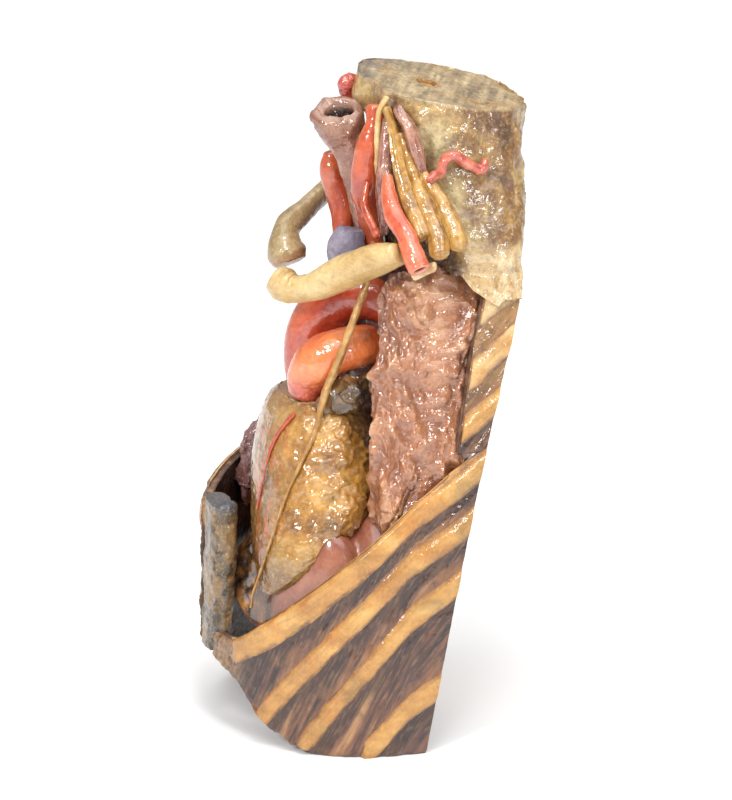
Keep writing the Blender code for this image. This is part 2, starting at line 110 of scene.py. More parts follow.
def stack(*parts):
    """Numbers side by side in the last direction, each one spread out to the shape of them all."""
    return np.stack(np.broadcast_arrays(*parts), axis=-1)


# --- Colour --------------------------------------------------------------------------------------------------


def shade(code):
    """A six-digit colour as linear red, green and blue, slightly deepened as the clear coat will lighten it."""
    c = np.array([int(code[n : n + 2], 16) for n in (0, 2, 4)]) / 255
    return 0.9 * np.where(c <= 0.04045, c / 12.92, ((c + 0.055) / 1.055) ** 2.4) ** 1.12


def blend(base, other, share):
    """Base colours moved towards others by a share for each point."""
    share = np.clip(np.asarray(share, float), 0, 1)[..., None]
    return base * (1 - share) + other * share


def wash(share, *codes):
    """Colours picked along an even row of codes, by a share from 0 to 1."""
    share = np.clip(share, 0, 1) * (len(codes) - 1)
    stops = np.array([shade(c) for c in codes])
    low = np.minimum(share.astype(int), len(codes) - 2)
    f = (share - low)[..., None]
    return stops[low] * (1 - f) + stops[low + 1] * f


def coats(paint, *layers):
    """Colours with more laid over them in turn: each layer is a code and its share for each point."""
    for code, share in layers:
        paint = blend(paint, shade(code), share)
    return paint


# --- Meshes --------------------------------------------------------------------------------------------------


def mesh_piece(name, points, faces, paint, grain, slot, crease=50):
    """A named piece from points in millimetres, quads and triangles, its colours and its grain directions."""
    mesh = bpy.data.meshes.new(name)
    place = (points + np.array((0.0, FRAME_Y, 0.0))) * MM
    corners = np.concatenate([f.reshape(-1) for f in faces if len(f)])
    sizes = np.concatenate([np.full(len(f), f.shape[1]) for f in faces if len(f)])
    mesh.vertices.add(len(place))
    mesh.vertices.foreach_set("co", place.astype(np.float32).reshape(-1))
    mesh.loops.add(len(corners))
    mesh.loops.foreach_set("vertex_index", corners.astype(np.int32))
    mesh.polygons.add(len(sizes))
    starts = np.concatenate([[0], np.cumsum(sizes)[:-1]])
    mesh.polygons.foreach_set("loop_start", starts.astype(np.int32))
    mesh.update(calc_edges=True)
    mesh.validate()
    colours = np.concatenate([np.clip(paint, 0, 1), np.ones((len(paint), 1))], axis=1).astype(np.float32)
    mesh.attributes.new("paint", "FLOAT_COLOR", "POINT").data.foreach_set("color", colours.reshape(-1))
    lines = (grain * MM).astype(np.float32)
    mesh.attributes.new("grain", "FLOAT_VECTOR", "POINT").data.foreach_set("vector", lines.reshape(-1))
    mesh.shade_smooth()
    mesh.set_sharp_from_angle(angle=math.radians(crease))
    mesh.materials.append(FINISHES[slot])
    piece = bpy.data.objects.new(name, mesh)
    bpy.context.scene.collection.objects.link(piece)
    nodes = (name,)
    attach(piece, "root")
    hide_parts(*nodes)


def grid_quads(rows, columns, wrap, first=0):
    """Quads between neighbouring rows and columns of a grid, the last column joined to the first if wrap is set."""
    index = np.arange(rows * columns).reshape(rows, columns) + first
    if wrap:
        index = np.concatenate([index, index[:, :1]], axis=1)
    return np.stack([index[:-1, :-1], index[:-1, 1:], index[1:, 1:], index[1:, :-1]], axis=-1).reshape(-1, 4)


def outward(points, faces):
    """The faces, turned round where the closed surface's signed volume comes out negative."""
    quads, triangles = faces
    a, b, c, d = (points[quads[:, n]] for n in range(4))
    volume = (a * np.cross(b, c)).sum() + (a * np.cross(c, d)).sum()
    if len(triangles):
        e, f, g = (points[triangles[:, n]] for n in range(3))
        volume += (e * np.cross(f, g)).sum()
    return [quads[:, ::-1], triangles[:, ::-1]] if volume < 0 else [quads, triangles]


def skin(rings):
    """Faces of closed rings joined in order, with a centre point added to shut each end. Gives points and faces."""
    rows, columns, _ = rings.shape
    points = np.concatenate([rings.reshape(-1, 3), rings[0].mean(0)[None], rings[-1].mean(0)[None]])
    quads = grid_quads(rows, columns, True)
    turn = np.arange(columns)
    after = np.roll(turn, -1)
    last = (rows - 1) * columns
    low = np.stack([np.full(columns, rows * columns), after, turn], axis=-1)
    high = np.stack([np.full(columns, rows * columns + 1), last + turn, last + after], axis=-1)
    return points, outward(points, (quads, np.concatenate([low, high])))


def plate(outer, inner, steps=4):
    """Faces of a thick sheet from its outer and inner grids, joined round the rim through a few steps."""
    rows, columns, _ = outer.shape
    count = rows * columns
    index = np.arange(count).reshape(rows, columns)
    rim = np.concatenate([index[0, :-1], index[:-1, -1], index[-1, :0:-1], index[:0:-1, 0]])
    shares = np.linspace(0, 1, steps + 1)[1:-1, None, None]
    out_flat, in_flat = outer.reshape(-1, 3), inner.reshape(-1, 3)
    side = out_flat[rim] * (1 - shares) + in_flat[rim] * shares
    points = np.concatenate([out_flat, in_flat, side.reshape(-1, 3)])
    loops = [rim, *(2 * count + len(rim) * n + np.arange(len(rim)) for n in range(steps - 1)), rim + count]
    quads = [grid_quads(rows, columns, False), grid_quads(rows, columns, False, count)[:, ::-1]]
    for low, high in zip(loops, loops[1:]):
        quads.append(np.stack([np.roll(low, -1), low, high, np.roll(high, -1)], axis=-1))
    return points, outward(points, (np.concatenate(quads), np.zeros((0, 3), int)))


def plate_piece(side, name, points, faces, paint, grain, slot):
    """A piece of the chest wall, mirrored if it belongs on the right."""
    if side == "right":
        points = points * TO_RIGHT
        faces = outward(points, faces)
    mesh_piece(name, points, faces, paint, grain, slot)


def ring_normals(rings):
    """Unit normals of a closed grid, from its slopes along and across, pointing away from each ring's middle."""
    across = np.roll(rings, -1, axis=1) - np.roll(rings, 1, axis=1)
    along = np.gradient(rings, axis=0)
    normal = np.cross(across, along)
    normal /= np.linalg.norm(normal, axis=-1, keepdims=True) + 1e-9
    away = rings - rings.mean(axis=1, keepdims=True)
    side = np.sign((normal * away).sum(-1).sum(axis=1))[:, None, None]
    return normal * np.where(side == 0, 1, side)


def raised(rings, lift):
    """The rings with each point moved out along its normal by its lift."""
    return rings + ring_normals(rings) * lift[..., None]


def grain_of(rings):
    """Grain directions for a ring grid: how far round in millimetres, how far along, and nothing."""
    middle = rings.mean(axis=1)
    along = np.concatenate([[0], np.cumsum(np.linalg.norm(np.diff(middle, axis=0), axis=1))])
    radius = np.linalg.norm(rings - middle[:, None], axis=-1).mean()
    around = np.abs(np.linspace(-1, 1, rings.shape[1], endpoint=False)) * np.pi * radius
    flat = stack(around[None, :], along[:, None], 0.0).reshape(-1, 3)
    return np.concatenate([flat, flat[:1], flat[-1:]])


def with_ends(values):
    """Values on a ring grid, flattened, with those of the two end points added."""
    flat = values.reshape(-1, *values.shape[2:])
    return np.concatenate([flat, values[0].mean(0)[None], values[-1].mean(0)[None]])


def ring_piece(name, rings, paint, slot, crease=60):
    """A piece from a ring grid and its colours."""
    points, faces = skin(rings)
    mesh_piece(name, points, faces, with_ends(paint), grain_of(rings), slot, crease)


def around(sides):
    """Angles once round a ring, as a row."""
    return np.linspace(0, 2 * np.pi, sides, endpoint=False)[None, :]


def squared(wave, power):
    """A sine or a cosine to a power below one with its sign kept, which squares off the circle made from it."""
    return np.sign(wave) * np.abs(wave) ** power


def shut(rings, count=10):
    """Rings added at both ends that draw in to the middle, so that the end faces can be shaped too."""
    shares = np.cos(np.linspace(0, 1, count + 1)[1:] * np.pi / 2 * 0.96)[:, None, None]
    first, last = rings[0].mean(0), rings[-1].mean(0)
    low = first + (rings[0] - first) * shares[::-1]
    high = last + (rings[-1] - last) * shares
    return np.concatenate([low, rings, high])


# --- Paths and tubes -----------------------------------------------------------------------------------------


def smooth_path(points, count):
    """Points along a Catmull-Rom curve through the given ones, with any extra columns carried along."""
    p = np.array(points, float)
    ends = np.vstack([2 * p[0] - p[1], p, 2 * p[-1] - p[-2]])
    t = np.linspace(0, len(p) - 1, count)
    i = np.minimum(t.astype(int), len(p) - 2)
    f = (t - i)[:, None]
    a, b, c, d = (ends[i + n] for n in range(4))
    return 0.5 * (2 * b + (c - a) * f + (2 * a - 5 * b + 4 * c - d) * f**2 + (3 * b - a - 3 * c + d) * f**3)


def carried_frames(centre, hint=(0.3, 0.9, 0.1)):
    """Along, side and other directions at each point of a path, the side carried on with no twist."""
    along = np.gradient(centre, axis=0)
    along /= np.linalg.norm(along, axis=1)[:, None]
    sides = np.empty_like(along)
    side = np.cross(along[0], hint)
    for n, t in enumerate(along):
        side = side - t * (side @ t)
        side = side / np.linalg.norm(side)
        sides[n] = side
    return along, sides, np.cross(along, sides)


def lumen_rings(path, along, circle, wall, depth):
    """Rings of a cut end: over the rounded wall and down the hole to a depth, on the path's own line.
    Gives the rings and how far each one is into the lumen."""
    end, radius, rings = path[-1, :3], path[-1, 3], len(path)
    hole = 1 - wall / radius
    middle, half = (1 + hole) / 2, (1 - hole) / 2
    roll = np.linspace(0, np.pi, 9)[:, None, None]
    lip = end + radius * (along * half * np.sin(roll) * 0.8 + (middle + half * np.cos(roll)) * circle)
    down = np.linspace(0.1, 1, 8) * depth
    length = np.linalg.norm(np.diff(path[:, :3], axis=0), axis=1).sum()
    back = rings - 1 - down * rings / length
    spine = np.stack([np.interp(back, np.arange(rings), path[:, n]) for n in range(3)], axis=-1)
    return [lip, spine[:, None] + radius * hole * circle], [np.linspace(0, 0.5, 9), np.linspace(0.6, 1, 8)]


def tube_rings(route, rings, sides, flat=1.0, round_ends=(0.5, 0.5), bore=None):
    """Rings of a tube carried along a route of x, y, z, radius. Each end closes through a quarter round whose length
    is a share of the radius. With a bore of wall and depth, the far end turns in to a lumen instead.
    Gives the rings, and for each ring how far it is into the lumen or the end face, from 0 to 1."""
    path = smooth_path(route, rings)
    along, side, other = carried_frames(path[:, :3])
    turn = around(sides)[..., None]
    circle = np.cos(turn) * side[:, None] + flat * np.sin(turn) * other[:, None]
    body = path[:, None, :3] + path[:, 3][:, None, None] * circle
    arc = np.linspace(0.12, 1, 6)[:, None, None] * np.pi / 2
    low, high = round_ends
    start = path[0, :3] - along[0] * (path[0, 3] * low) * np.cos(arc) + path[0, 3] * np.sin(arc) * circle[0]
    parts, inside = [start, body[1:-1]], [1 - np.sin(arc[:, 0, 0]), np.zeros(rings - 2)]
    if bore:
        more, depths = lumen_rings(path, along[-1], circle[-1], *bore)
        return np.concatenate(parts + more), np.concatenate(inside + depths)
    arc = arc[::-1]
    end, radius = path[-1, :3], path[-1, 3]
    parts.append(end + along[-1] * radius * high * np.cos(arc) + radius * np.sin(arc) * circle[-1])
    inside.append(1 - np.sin(arc[:, 0, 0]))
    return np.concatenate(parts), np.concatenate(inside)


# --- The chest wall as a surface -------------------------------------------------------------------------------

CHEST_Z = (0, 70, 134, 200, 260, 290, 315, 340)
CHEST_HALF = (106, 112, 110, 103, 92, 82, 72, 66)  # half the chest's width at those heights
CHEST_MID = (0, 0, 3, 8, 20, 30, 38, 42)  # the depth at which it is widest
CHEST_FRONT = (111.5, 111, 113, 112, 112, 112, 112, 112)  # from there to the breastbone
CHEST_REAR = 180.0  # the half length of the ellipse behind the flank
TURN_MM = 1.9  # one degree of turn along the wall
CUT_TURN = 101.0
WALL_THICK = 9.5
STRIP_TURN = 98.0  # where the narrow upper part of the wall starts
STRIP_TOP_Z = 308.0
SPINE_TOP_Z = 304
DOME_X, DOME_Y, DOME_MID = 99.5, 95, 1.5  # the dome's half width, half depth and middle
BACK_FLAT_Z = 285  # the cut back curves up to this height and is straight above it
FOOT_TURN, FOOT_Z = (10, 18, 26, 31, 42, 52, 63), (46, 44, 39, 30, 14, 5.5, 0)
LEFT_TOP = ((10, 22, 29, 45, 60, 78, 92, 104), (64, 65, 70, 89.5, 112, 141.5, 168.5, 203))
RIGHT_TOP = ((10, 30, 60, 78, 92, 104), (143, 147, 163, 187, 217, 244))
# Each rib: its centre's heights at turns 45, 75 and 105, its half width, and its first turn on the left and the right.
RIBS = {
    "rib_3": ((160, 226, 300), 10.5, None, None),
    "rib_4": ((135, 190, 260), 9.5, None, None),
    "rib_5": ((108, 160, 226), 9.5, None, 27),
    "rib_6": ((82, 128, 190), 10.5, 27, 15),
    "rib_7": ((34, 97, 159), 9.5, 38, 34),
    "rib_8": ((-19, 56, 126), 9.5, 57, 57),
    "rib_9": ((-62, 0, 66), 10.5, 80, 80),
}
RIGHT_LIFT = {
    "rib_5": (47, 20, 0),
    "rib_6": (38, 12, 0),
    "rib_7": (38, 10, 0),
    "rib_8": (30, 6, 0),
    "rib_9": (20, 4, 0),
}  # how much higher the right ribs' centres are


def back_y(z):
    """The cut back: a parabola whose lean grows with height up to the neck's foot."""
    return 11.9 + 0.136 * z + 0.00034 * np.minimum(z, BACK_FLAT_Z) ** 2


def back_ridge(z):
    """How far the spine and its muscles stand out behind the cut back."""
    return 20 * (1 - (z / SPINE_TOP_Z) ** 2)


def back_turn(z):
    """The turn at which the wall meets the cut back."""
    return 90 + np.degrees(np.arcsin((back_y(z) - np.interp(z, CHEST_Z, CHEST_MID)) / CHEST_REAR))


def wall_points(turn, z, inset):
    """Points on the left wall: an ellipse in front of the flank and a longer one behind it, at each height."""
    half, middle, front = (np.interp(z, CHEST_Z, row) for row in (CHEST_HALF, CHEST_MID, CHEST_FRONT))
    a = np.radians(turn)
    ahead = middle - (front - inset) * np.cos(a)
    behind = middle - CHEST_REAR * np.cos(a)
    return stack((half - inset) * np.sin(a), np.where(turn <= 90, ahead, behind), z)


def wall_x(y, z, inset):
    """How far to the left the wall reaches at a depth and height."""
    half, middle, front = (np.interp(z, CHEST_Z, row) for row in (CHEST_HALF, CHEST_MID, CHEST_FRONT))
    reach = np.where(y < middle, front - inset, CHEST_REAR)
    return (half - inset) * np.sqrt(1 - np.minimum(0.98, np.abs(y - middle) / reach) ** 2)


def rib_height(turn, heights):
    """A parabola through a rib's centre heights at turns 45, 75 and 105."""
    u, v, w = heights
    a, b, c = turn - 45, turn - 75, turn - 105
    return u * b * c / 1800 - v * a * c / 900 + w * a * b / 1800


def rib_row(name, side):
    """A rib's centre heights, its half width and its first turn on one side."""
    heights, half, left_first, right_first = RIBS[name]
    if side == "left":
        return heights, half, left_first
    lift = RIGHT_LIFT.get(name, (0, 0, 0))
    return tuple(h + d for h, d in zip(heights, lift)), half, right_first


def swell_reach(x, y):
    """How far a place is from the middle of the dome's left swelling: 0 there and 1 at its rim."""
    return np.hypot((x - 64) / 44, (y + 55) / 44)


def dome_z(x, y):
    """The diaphragm's upper surface: a flat-topped dome on a rim that rises to the back, with beds for the heart,
    and an ellipsoid swelling on the left that rounds off towards the wall."""
    reach = np.hypot(x / 101.0, (y + 4) / 101.0)
    rim = 62 + 0.42 * (y + 60)
    rise = 76 * np.sqrt(np.maximum(0.0, 1 - np.minimum(reach, 1.0) ** 4))
    heart_bed = 34 * np.exp(-(((x - 34) / 28) ** 2) - ((y + 66) / 26) ** 2)
    right_bed = 16 * np.exp(-(((x + 48) / 30) ** 2) - ((y + 66) / 26) ** 2)
    plain = rim + rise - heart_bed - right_bed
    swell = 90 + 59 * np.sqrt(np.maximum(0, 1 - swell_reach(x, y) ** 2))
    near_wall = np.clip((np.hypot(x / DOME_X, (y - DOME_MID) / DOME_Y) - 0.8) / 0.2, 0, 1)
    return plain + np.maximum(0, swell - plain) * np.sqrt(1 - near_wall**2) * (swell_reach(x, y) < 1)


def neck_cut(x, y):
    """Height of the tilted plane that cuts the neck."""
    return 419.5 - 0.13 * x - 0.155 * y


# --- Finishes ------------------------------------------------------------------------------------------------


class Finish:
    """A painted resin: its colours come from the piece's paint, broken up by fine mottling, under a wet clear coat."""

    def __init__(self, name, roughness, coat, coat_roughness):
        self.material = bpy.data.materials.new(name)
        self.material.use_nodes = True
        self.nodes = self.material.node_tree.nodes
        self.links = self.material.node_tree.links
        self.shader = self.nodes["Principled BSDF"]
        for socket, value in (
            ("Roughness", roughness),
            ("Specular IOR Level", 0.3),
            ("Coat IOR", 1.75),
            ("Coat Weight", coat),
            ("Coat Roughness", coat_roughness),
        ):
            self.shader.inputs[socket].default_value = value

    def add(self, kind, **inputs):
        """A new node with some of its sockets set to values or joined to other sockets."""
        node = self.nodes.new(kind)
        for key, value in inputs.items():
            numbered = key[0] == "i" and key[1:].isdigit()
            socket = node.inputs[int(key[1:]) if numbered else key.replace("_", " ")]
            if isinstance(value, bpy.types.NodeSocket):
                self.links.new(value, socket)
            else:
                socket.default_value = value
        return node

    def attribute(self, name, output):
        """One of the piece's own attributes: its paint or its grain."""
        node = self.nodes.new("ShaderNodeAttribute")
        node.attribute_name = name
        return node.outputs[output]

    def place(self, grain=None):
        """Where a pattern is read: the object's own space, or the piece's grain stretched by three factors."""
        if grain:
            where = self.attribute("grain", "Vector")
        else:
            where = self.nodes.new("ShaderNodeTexCoord").outputs["Object"]
        return self.add("ShaderNodeMapping", Vector=where, Scale=grain or (1, 1, 1)).outputs["Vector"]

    def mottle(self, size, detail, rough, where=None, bend=0.0):
        """Noise from 0 to 1 whose cells are a size in millimetres."""
        scale = 1 / (size * MM)
        where = where or self.place()
        node = self.add(
            "ShaderNodeTexNoise", Vector=where, Scale=scale, Detail=detail, Roughness=rough, Distortion=bend
        )
        return node.outputs["Fac"]

    def cells(self, size):
        """Distance to the nearest of scattered points whose spacing is a size in millimetres."""
        return self.add("ShaderNodeTexVoronoi", Vector=self.place(), Scale=1 / (size * MM)).outputs["Distance"]

    def span(self, value, low, high, to_low, to_high):
        """A value moved from one range to another and held inside it."""
        return self.add("ShaderNodeMapRange", i0=value, i1=low, i2=high, i3=to_low, i4=to_high).outputs["Result"]

    def mix(self, share, base, code):
        """A colour moved towards a six-digit one by a share."""
        node = self.nodes.new("ShaderNodeMix")
        node.data_type = "RGBA"
        self.links.new(share, node.inputs[0])
        self.links.new(base, node.inputs[6])
        node.inputs[7].default_value = (*shade(code), 1.0)
        return node.outputs[2]

    def bump(self, height, depth, before=None):
        """A relief a depth in millimetres deep, over one made before."""
        node = self.add("ShaderNodeBump", Height=height, Distance=depth * MM, Strength=1.0)
        if before is not None:
            self.links.new(before, node.inputs["Normal"])
        return node.outputs["Normal"]


def wet_finish(name, coarse, fine, relief, dark, light, contrast, roughness, coat, coat_roughness, grain=None, speck=0):
    """Resin with mottling of two sizes towards a dark and a light shade, and relief at both sizes. With a grain,
    the fine mottling is drawn out along the piece's grain. The clear coat lies smoother, over swellings of its own."""
    f = Finish(name, roughness, coat, coat_roughness)
    where = f.place(grain)
    big = f.mottle(coarse, 4.0, 0.6, bend=0.4)
    small = f.mottle(fine, 3.0, 0.6, where=where)
    colour = f.mix(f.span(big, 0.5, 0.72, 0, contrast), f.attribute("paint", "Color"), dark)
    colour = f.mix(f.span(small, 0.52, 0.75, 0, contrast), colour, light)
    colour = f.mix(f.span(small, 0.25, 0.46, contrast, 0), colour, dark)
    if speck:
        colour = f.mix(f.span(f.cells(fine * 1.6), 0.12, 0.22, speck, 0), colour, dark)
    normal = f.bump(small, relief * 0.5, f.bump(big, relief))
    gloss = f.bump(f.mottle(coarse * 0.5, 1.5, 0.5), relief * 0.45)
    coat_normal = f.bump(small, relief * 0.12, gloss)
    patches = f.mottle(coarse * 0.6, 3.0, 0.6)
    rough = f.span(patches, 0.35, 0.68, roughness * 0.75, min(1.0, roughness * 1.35))
    for socket, source in (
        ("Base Color", colour), ("Normal", normal), ("Coat Normal", coat_normal), ("Roughness", rough)
    ):
        f.links.new(source, f.shader.inputs[socket])
    return f.material


ALONG = (1, 0.14, 1)  # muscle fibres, seven times as long as they are wide
# Each row: coarse and fine mottling and relief in millimetres, dark and light shades, contrast, roughness, and the
# clear coat's weight and roughness.
FINISHES = {
    "bone": wet_finish("bone_resin", 7, 1.8, 0.7, "8d6e42", "f3dcae", 0.3, 0.42, 0.5, 0.1),
    "rib_bone": wet_finish("rib_resin", 7, 2.0, 0.8, "8a6238", "e9c07f", 0.28, 0.42, 0.4, 0.12),
    "artery_red": wet_finish("artery_resin", 9, 2.4, 0.6, "8f301e", "f08a5c", 0.28, 0.36, 0.9, 0.05),
    "vein_blue": wet_finish("vein_resin", 6, 1.4, 0.5, "5d5666", "b3aebb", 0.45, 0.55, 0.12, 0.3),
    "nerve_yellow": wet_finish("nerve_resin", 6, 1.4, 0.6, "86571f", "f0c67c", 0.35, 0.38, 0.7, 0.08, (1, 0.3, 1)),
    "neck_tissue": wet_finish("neck_resin", 7, 2.4, 1.2, "5d4028", "dfc68e", 0.46, 0.4, 0.6, 0.14),
    "lung_brown": wet_finish("lung_resin", 6, 1.9, 1.3, "6d4230", "eebc96", 0.3, 0.36, 1.0, 0.09, speck=0.4),
    "muscle_purple": wet_finish("muscle_resin", 7, 1.5, 1.2, "2c1c1e", "b08d66", 0.45, 0.42, 0.5, 0.1, ALONG),
    "muscle_pink": wet_finish("strap_muscle_resin", 5, 1.3, 0.9, "5d332a", "e0b29a", 0.5, 0.36, 0.9, 0.06, ALONG),
    "heart_fat": wet_finish("heart_resin", 8, 2.4, 1.3, "7d5224", "edcd93", 0.36, 0.34, 1.0, 0.05),
    "auricle_brown": wet_finish("auricle_resin", 5, 1.4, 1.0, "33241a", "a58a63", 0.45, 0.34, 0.95, 0.06),
    "airway_brown": wet_finish("airway_resin", 6, 1.5, 1.0, "57382d", "cfa48c", 0.4, 0.4, 0.75, 0.08),
    "diaphragm_pink": wet_finish("diaphragm_resin", 12, 2.2, 0.45, "7d4836", "d9a288", 0.25, 0.36, 0.8, 0.13),
}


# --- Chest wall --------------------------------------------------------------------------------------------------


def rib_distance(turn, z, side, names):
    """How far a place on the wall is from the edge of the nearest rib, in millimetres, and whether it is above the
    rib's middle line (1) or below it (-1)."""
    best = np.full(np.broadcast(turn, z).shape, 99.0)
    sign = np.zeros(best.shape)
    for name in names:
        heights, half, first = rib_row(name, side)
        slope = (rib_height(turn + 1, heights) - rib_height(turn - 1, heights)) / 2 / TURN_MM
        lean = np.sqrt(1 + slope**2)
        off = (z - rib_height(turn, heights)) / lean
        gap = np.abs(off) - half / lean + np.maximum(0, (first or STRIP_TURN) - turn) * TURN_MM
        near = gap < best
        best, sign = np.where(near, gap, best), np.where(near, np.sign(off), sign)
    return best, sign


def fibre_place(arc, z, across, along):
    """Where the muscle's fibres are read: turned to run up and back, and divided by their spacing and length."""
    return stack((arc * 0.91 - z * 0.42) / across, (arc * 0.42 + z * 0.91) / along, 0.0)


def muscle_paint(turn, z, side, names, points):
    """Purple-brown muscle with slanting fibres, painted shadow under the ribs' lower edges, and tan where fat shows."""
    fibre = fibre_place(turn * TURN_MM, z, 1.9, 38)
    pale = step(215, 250, z)
    threads = cloud(fibre, 1.0, 3, 5)
    broad = cloud(fibre * np.array((0.25, 0.4, 1)), 1.0, 3, 9)
    gap, sign = rib_distance(turn, z, side, names)
    wander = 2.5 * cloud(points, 12, 2, 3) + 1.5 * threads
    below = np.where(sign < 0, 1.0, 0.0)
    shadow = below * np.exp(-((np.maximum(0, gap + wander - 2.0) / 4.5) ** 2))
    above = (1 - below) * np.exp(-((np.maximum(0, gap + wander) / 3.0) ** 2))
    paint = coats(
        wash(0.46 + 0.45 * threads + 0.5 * broad, "301d1a", "57382f", "7b5440", "a07555", "c69a68"),
        ("8f6440", 0.6 * step(0.05, 0.5, cloud(points, 22, 3, 21))),
        ("5c4850", 0.4 * step(0.1, 0.6, cloud(points, 15, 3, 33))),
        # painted shadow: dark brown on the muscle under each rib's lower edge
        ("3c2620", (0.8 - 0.45 * pale) * shadow),
        ("c29a68", 0.55 * pale),
        ("9a6c44", 0.7 * above),
    )
    freckles = wash(0.5 + 0.6 * cloud(points, 3.0, 2, 41), "3d2d24", "7b6048", "ad8a62", "d6a05c")
    return blend(paint, freckles, 0.85 * step(34, 12, turn))


def wall_sheet(side, name, first, low, high, size, ribs, ragged=True):
    """One muscle layer: a plate between an outer and an inner wall surface from a first turn to the cut back, its
    bottom and top given by functions of the turn, its fibres raised and its edges ragged."""
    rows, columns = size
    share = np.linspace(0, 1, rows)[:, None]
    nominal = first + (CUT_TURN - first) * share
    rise = np.linspace(0, 1, columns)[None, :]
    bottom, top = low(nominal), high(nominal)
    if ragged:
        wave = cloud(stack(nominal * TURN_MM, 0.0, 7.0), 9, 3, 51)
        bottom = bottom + np.where(bottom > 0.5, 2.6 * wave, 0)
    z = bottom + (top - bottom) * rise
    turn = first + (back_turn(z) - first) * share
    arc = turn * TURN_MM
    gap, _ = rib_distance(turn, z, side, ribs)
    ground = stack(arc, z, 0.0)
    relief = 0.7 * cloud(fibre_place(arc, z, 2.4, 34), 1.0, 3, 5) + 0.9 * cloud(ground, 13, 3, 8)
    relief = relief * (0.3 + 0.7 * step(0, 4, gap)) + step(30, 12, turn) * 1.5 * cloud(ground, 5, 3, 61)
    edge = np.minimum(1, np.minimum(rise, 1 - rise) * (top - bottom) / 3.0)
    outer = wall_points(turn, z, 2.1 - relief + 1.5 * (1 - edge) ** 2)
    inner = wall_points(turn, z, WALL_THICK - 0.5 * cloud(ground + 9, 12, 2, 71))
    points, faces = plate(outer, inner)
    count = rows * columns
    back, rim = points[count : 2 * count], points[2 * count :]
    flat_turn, flat_z = turn.reshape(-1), z.reshape(-1)
    paint = np.concatenate([
        muscle_paint(flat_turn, flat_z, side, ribs, points[:count]),
        # the inner face, painted near black: painted shade of the chest's hollow
        wash(0.5 + 0.7 * cloud(back, 16, 3, 5), "1d130e", "36241a", "523a2a"),
        wash(0.5 + 0.8 * cloud(rim, 6, 3, 6), "4a3833", "7d5f50", "b08a68"),
    ])
    grain = fibre_place(flat_turn * TURN_MM, flat_z, 1, 1)
    grain = np.concatenate([grain, grain, rim[:, [1, 2, 0]]])
    plate_piece(side, name, points, faces, paint, grain, "muscle_purple")


def last_turn(heights):
    """The turn at which a rib meets the cut back, found by following the rib there again and again."""
    last = 100.0
    for _ in range(20):
        last = float(back_turn(rib_height(last, heights)))
    return last


def rib_band(side, name, tint):
    """A rib: a plate whose outer face is crowned across its width and sinks into the muscle along wavering edges.
    The upper ribs show only as stubs on the wall's narrow strip."""
    heights, half, first = rib_row(name, side)
    half = half + (2.2 if RIBS[name][3] else 4.0)
    stub = first is None
    rows, columns = (30, 26) if stub else (170, 28)
    first = STRIP_TURN + 0.3 if stub else first - 6
    share = np.linspace(0, 1, rows)[:, None]
    nominal = first + (last_turn(heights) - first) * share
    arc = nominal * TURN_MM
    q = np.linspace(-1, 1, columns)[None, :]
    edge_low = 1.1 * cloud(stack(arc, 0.0, 3.0 * half), 14, 3, 11)
    edge_high = 1.1 * cloud(stack(arc, 0.0, 7.0 * half), 14, 3, 12)
    middle = rib_height(nominal, heights)
    level = middle + q * half + np.where(q < 0, edge_low * -q, edge_high * q)
    roof = STRIP_TOP_Z if stub else np.interp(nominal, *(LEFT_TOP if side == "left" else RIGHT_TOP)) + 1.4
    floor = np.interp(nominal, FOOT_TURN, FOOT_Z)
    z = np.clip(level, floor, np.maximum(roof, floor + 0.5))
    turn = first + (back_turn(z) - first) * share
    bow = np.abs(q) ** 2.4
    tip = 0 if stub else step(0.07, 0.0, share) * 2.2
    cap = 0 if stub else 2.4 * step(3.5, 0.0, roof - z) ** 2
    ground = stack(arc, level, 0.0)
    relief = 0.5 * cloud(ground, 12, 3, 14) + 0.2 * cloud(ground, 3.5, 2, 15)
    outer = wall_points(turn, z, 0.4 + 2.6 * bow * (level < roof) + tip + cap - relief * (1 - bow))
    points, faces = plate(outer, wall_points(turn, z, 4.6 + 0 * z), 2)
    paint = rib_paint(side, points[: rows * columns], ground, q, share, level - middle, roof - z, level > roof - 2, tint)
    if not stub:
        paint = coats(paint, ("9a7050", 0.6 * step(0.09, 0.0, share + 0 * q).reshape(-1)))
    marrow = wash(0.5 + 0.8 * cloud(points[rows * columns :], 2.5, 2, 24), "b98c62", "e3c391", "c98f6c")
    grain = stack(level - middle, arc, 0.0).reshape(-1, 3)
    grain = np.concatenate([grain, grain, points[2 * rows * columns :][:, [0, 2, 1]]])
    plate_piece(side, f"{side}_{name}", points, faces, np.concatenate([paint, marrow]), grain, "rib_bone")


def rib_paint(side, points, ground, q, share, off, under, covered, tint):
    """A rib's outer colours: mottled ochre with streaks along it, browner and worn towards its edges."""
    flat = ground.reshape(-1, 3)
    streak = cloud(stack(ground[..., 0] / 14, off / 1.6, 0.0).reshape(-1, 3), 1, 2, 18)
    patch = cloud(points, 17, 3, 20)
    across = np.abs(q + 0 * share).reshape(-1)
    worn = across + 0.22 * cloud(points, 7, 3, 19) + 0.12 * streak - 0.6 * covered.reshape(-1)
    lower = np.sign(0.5 - np.tile(q[0] > 0, len(share)))
    paint = coats(
        wash(0.5 + 0.55 * cloud(flat * np.array((0.5, 1, 1)), 9, 3, 16), *tint),
        ("8b6f52", 0.35 * step(0.1, 0.7, streak)),
        ("8f7a4c", 0.5 * step(0.1, 0.6, patch)),
        ("d08a3c", 0.45 * step(0.1, 0.6, -patch)),
        ("9a6a42", 0.7 * step(0.45, 0.85, worn)),
        ("56403c", 0.9 * step(0.68, 1.0, worn + 0.08 * lower)),
    )
    return coats(paint, ("4a3a30", 0.85 * step(5, 1, under.reshape(-1)))) if side == "right" else paint


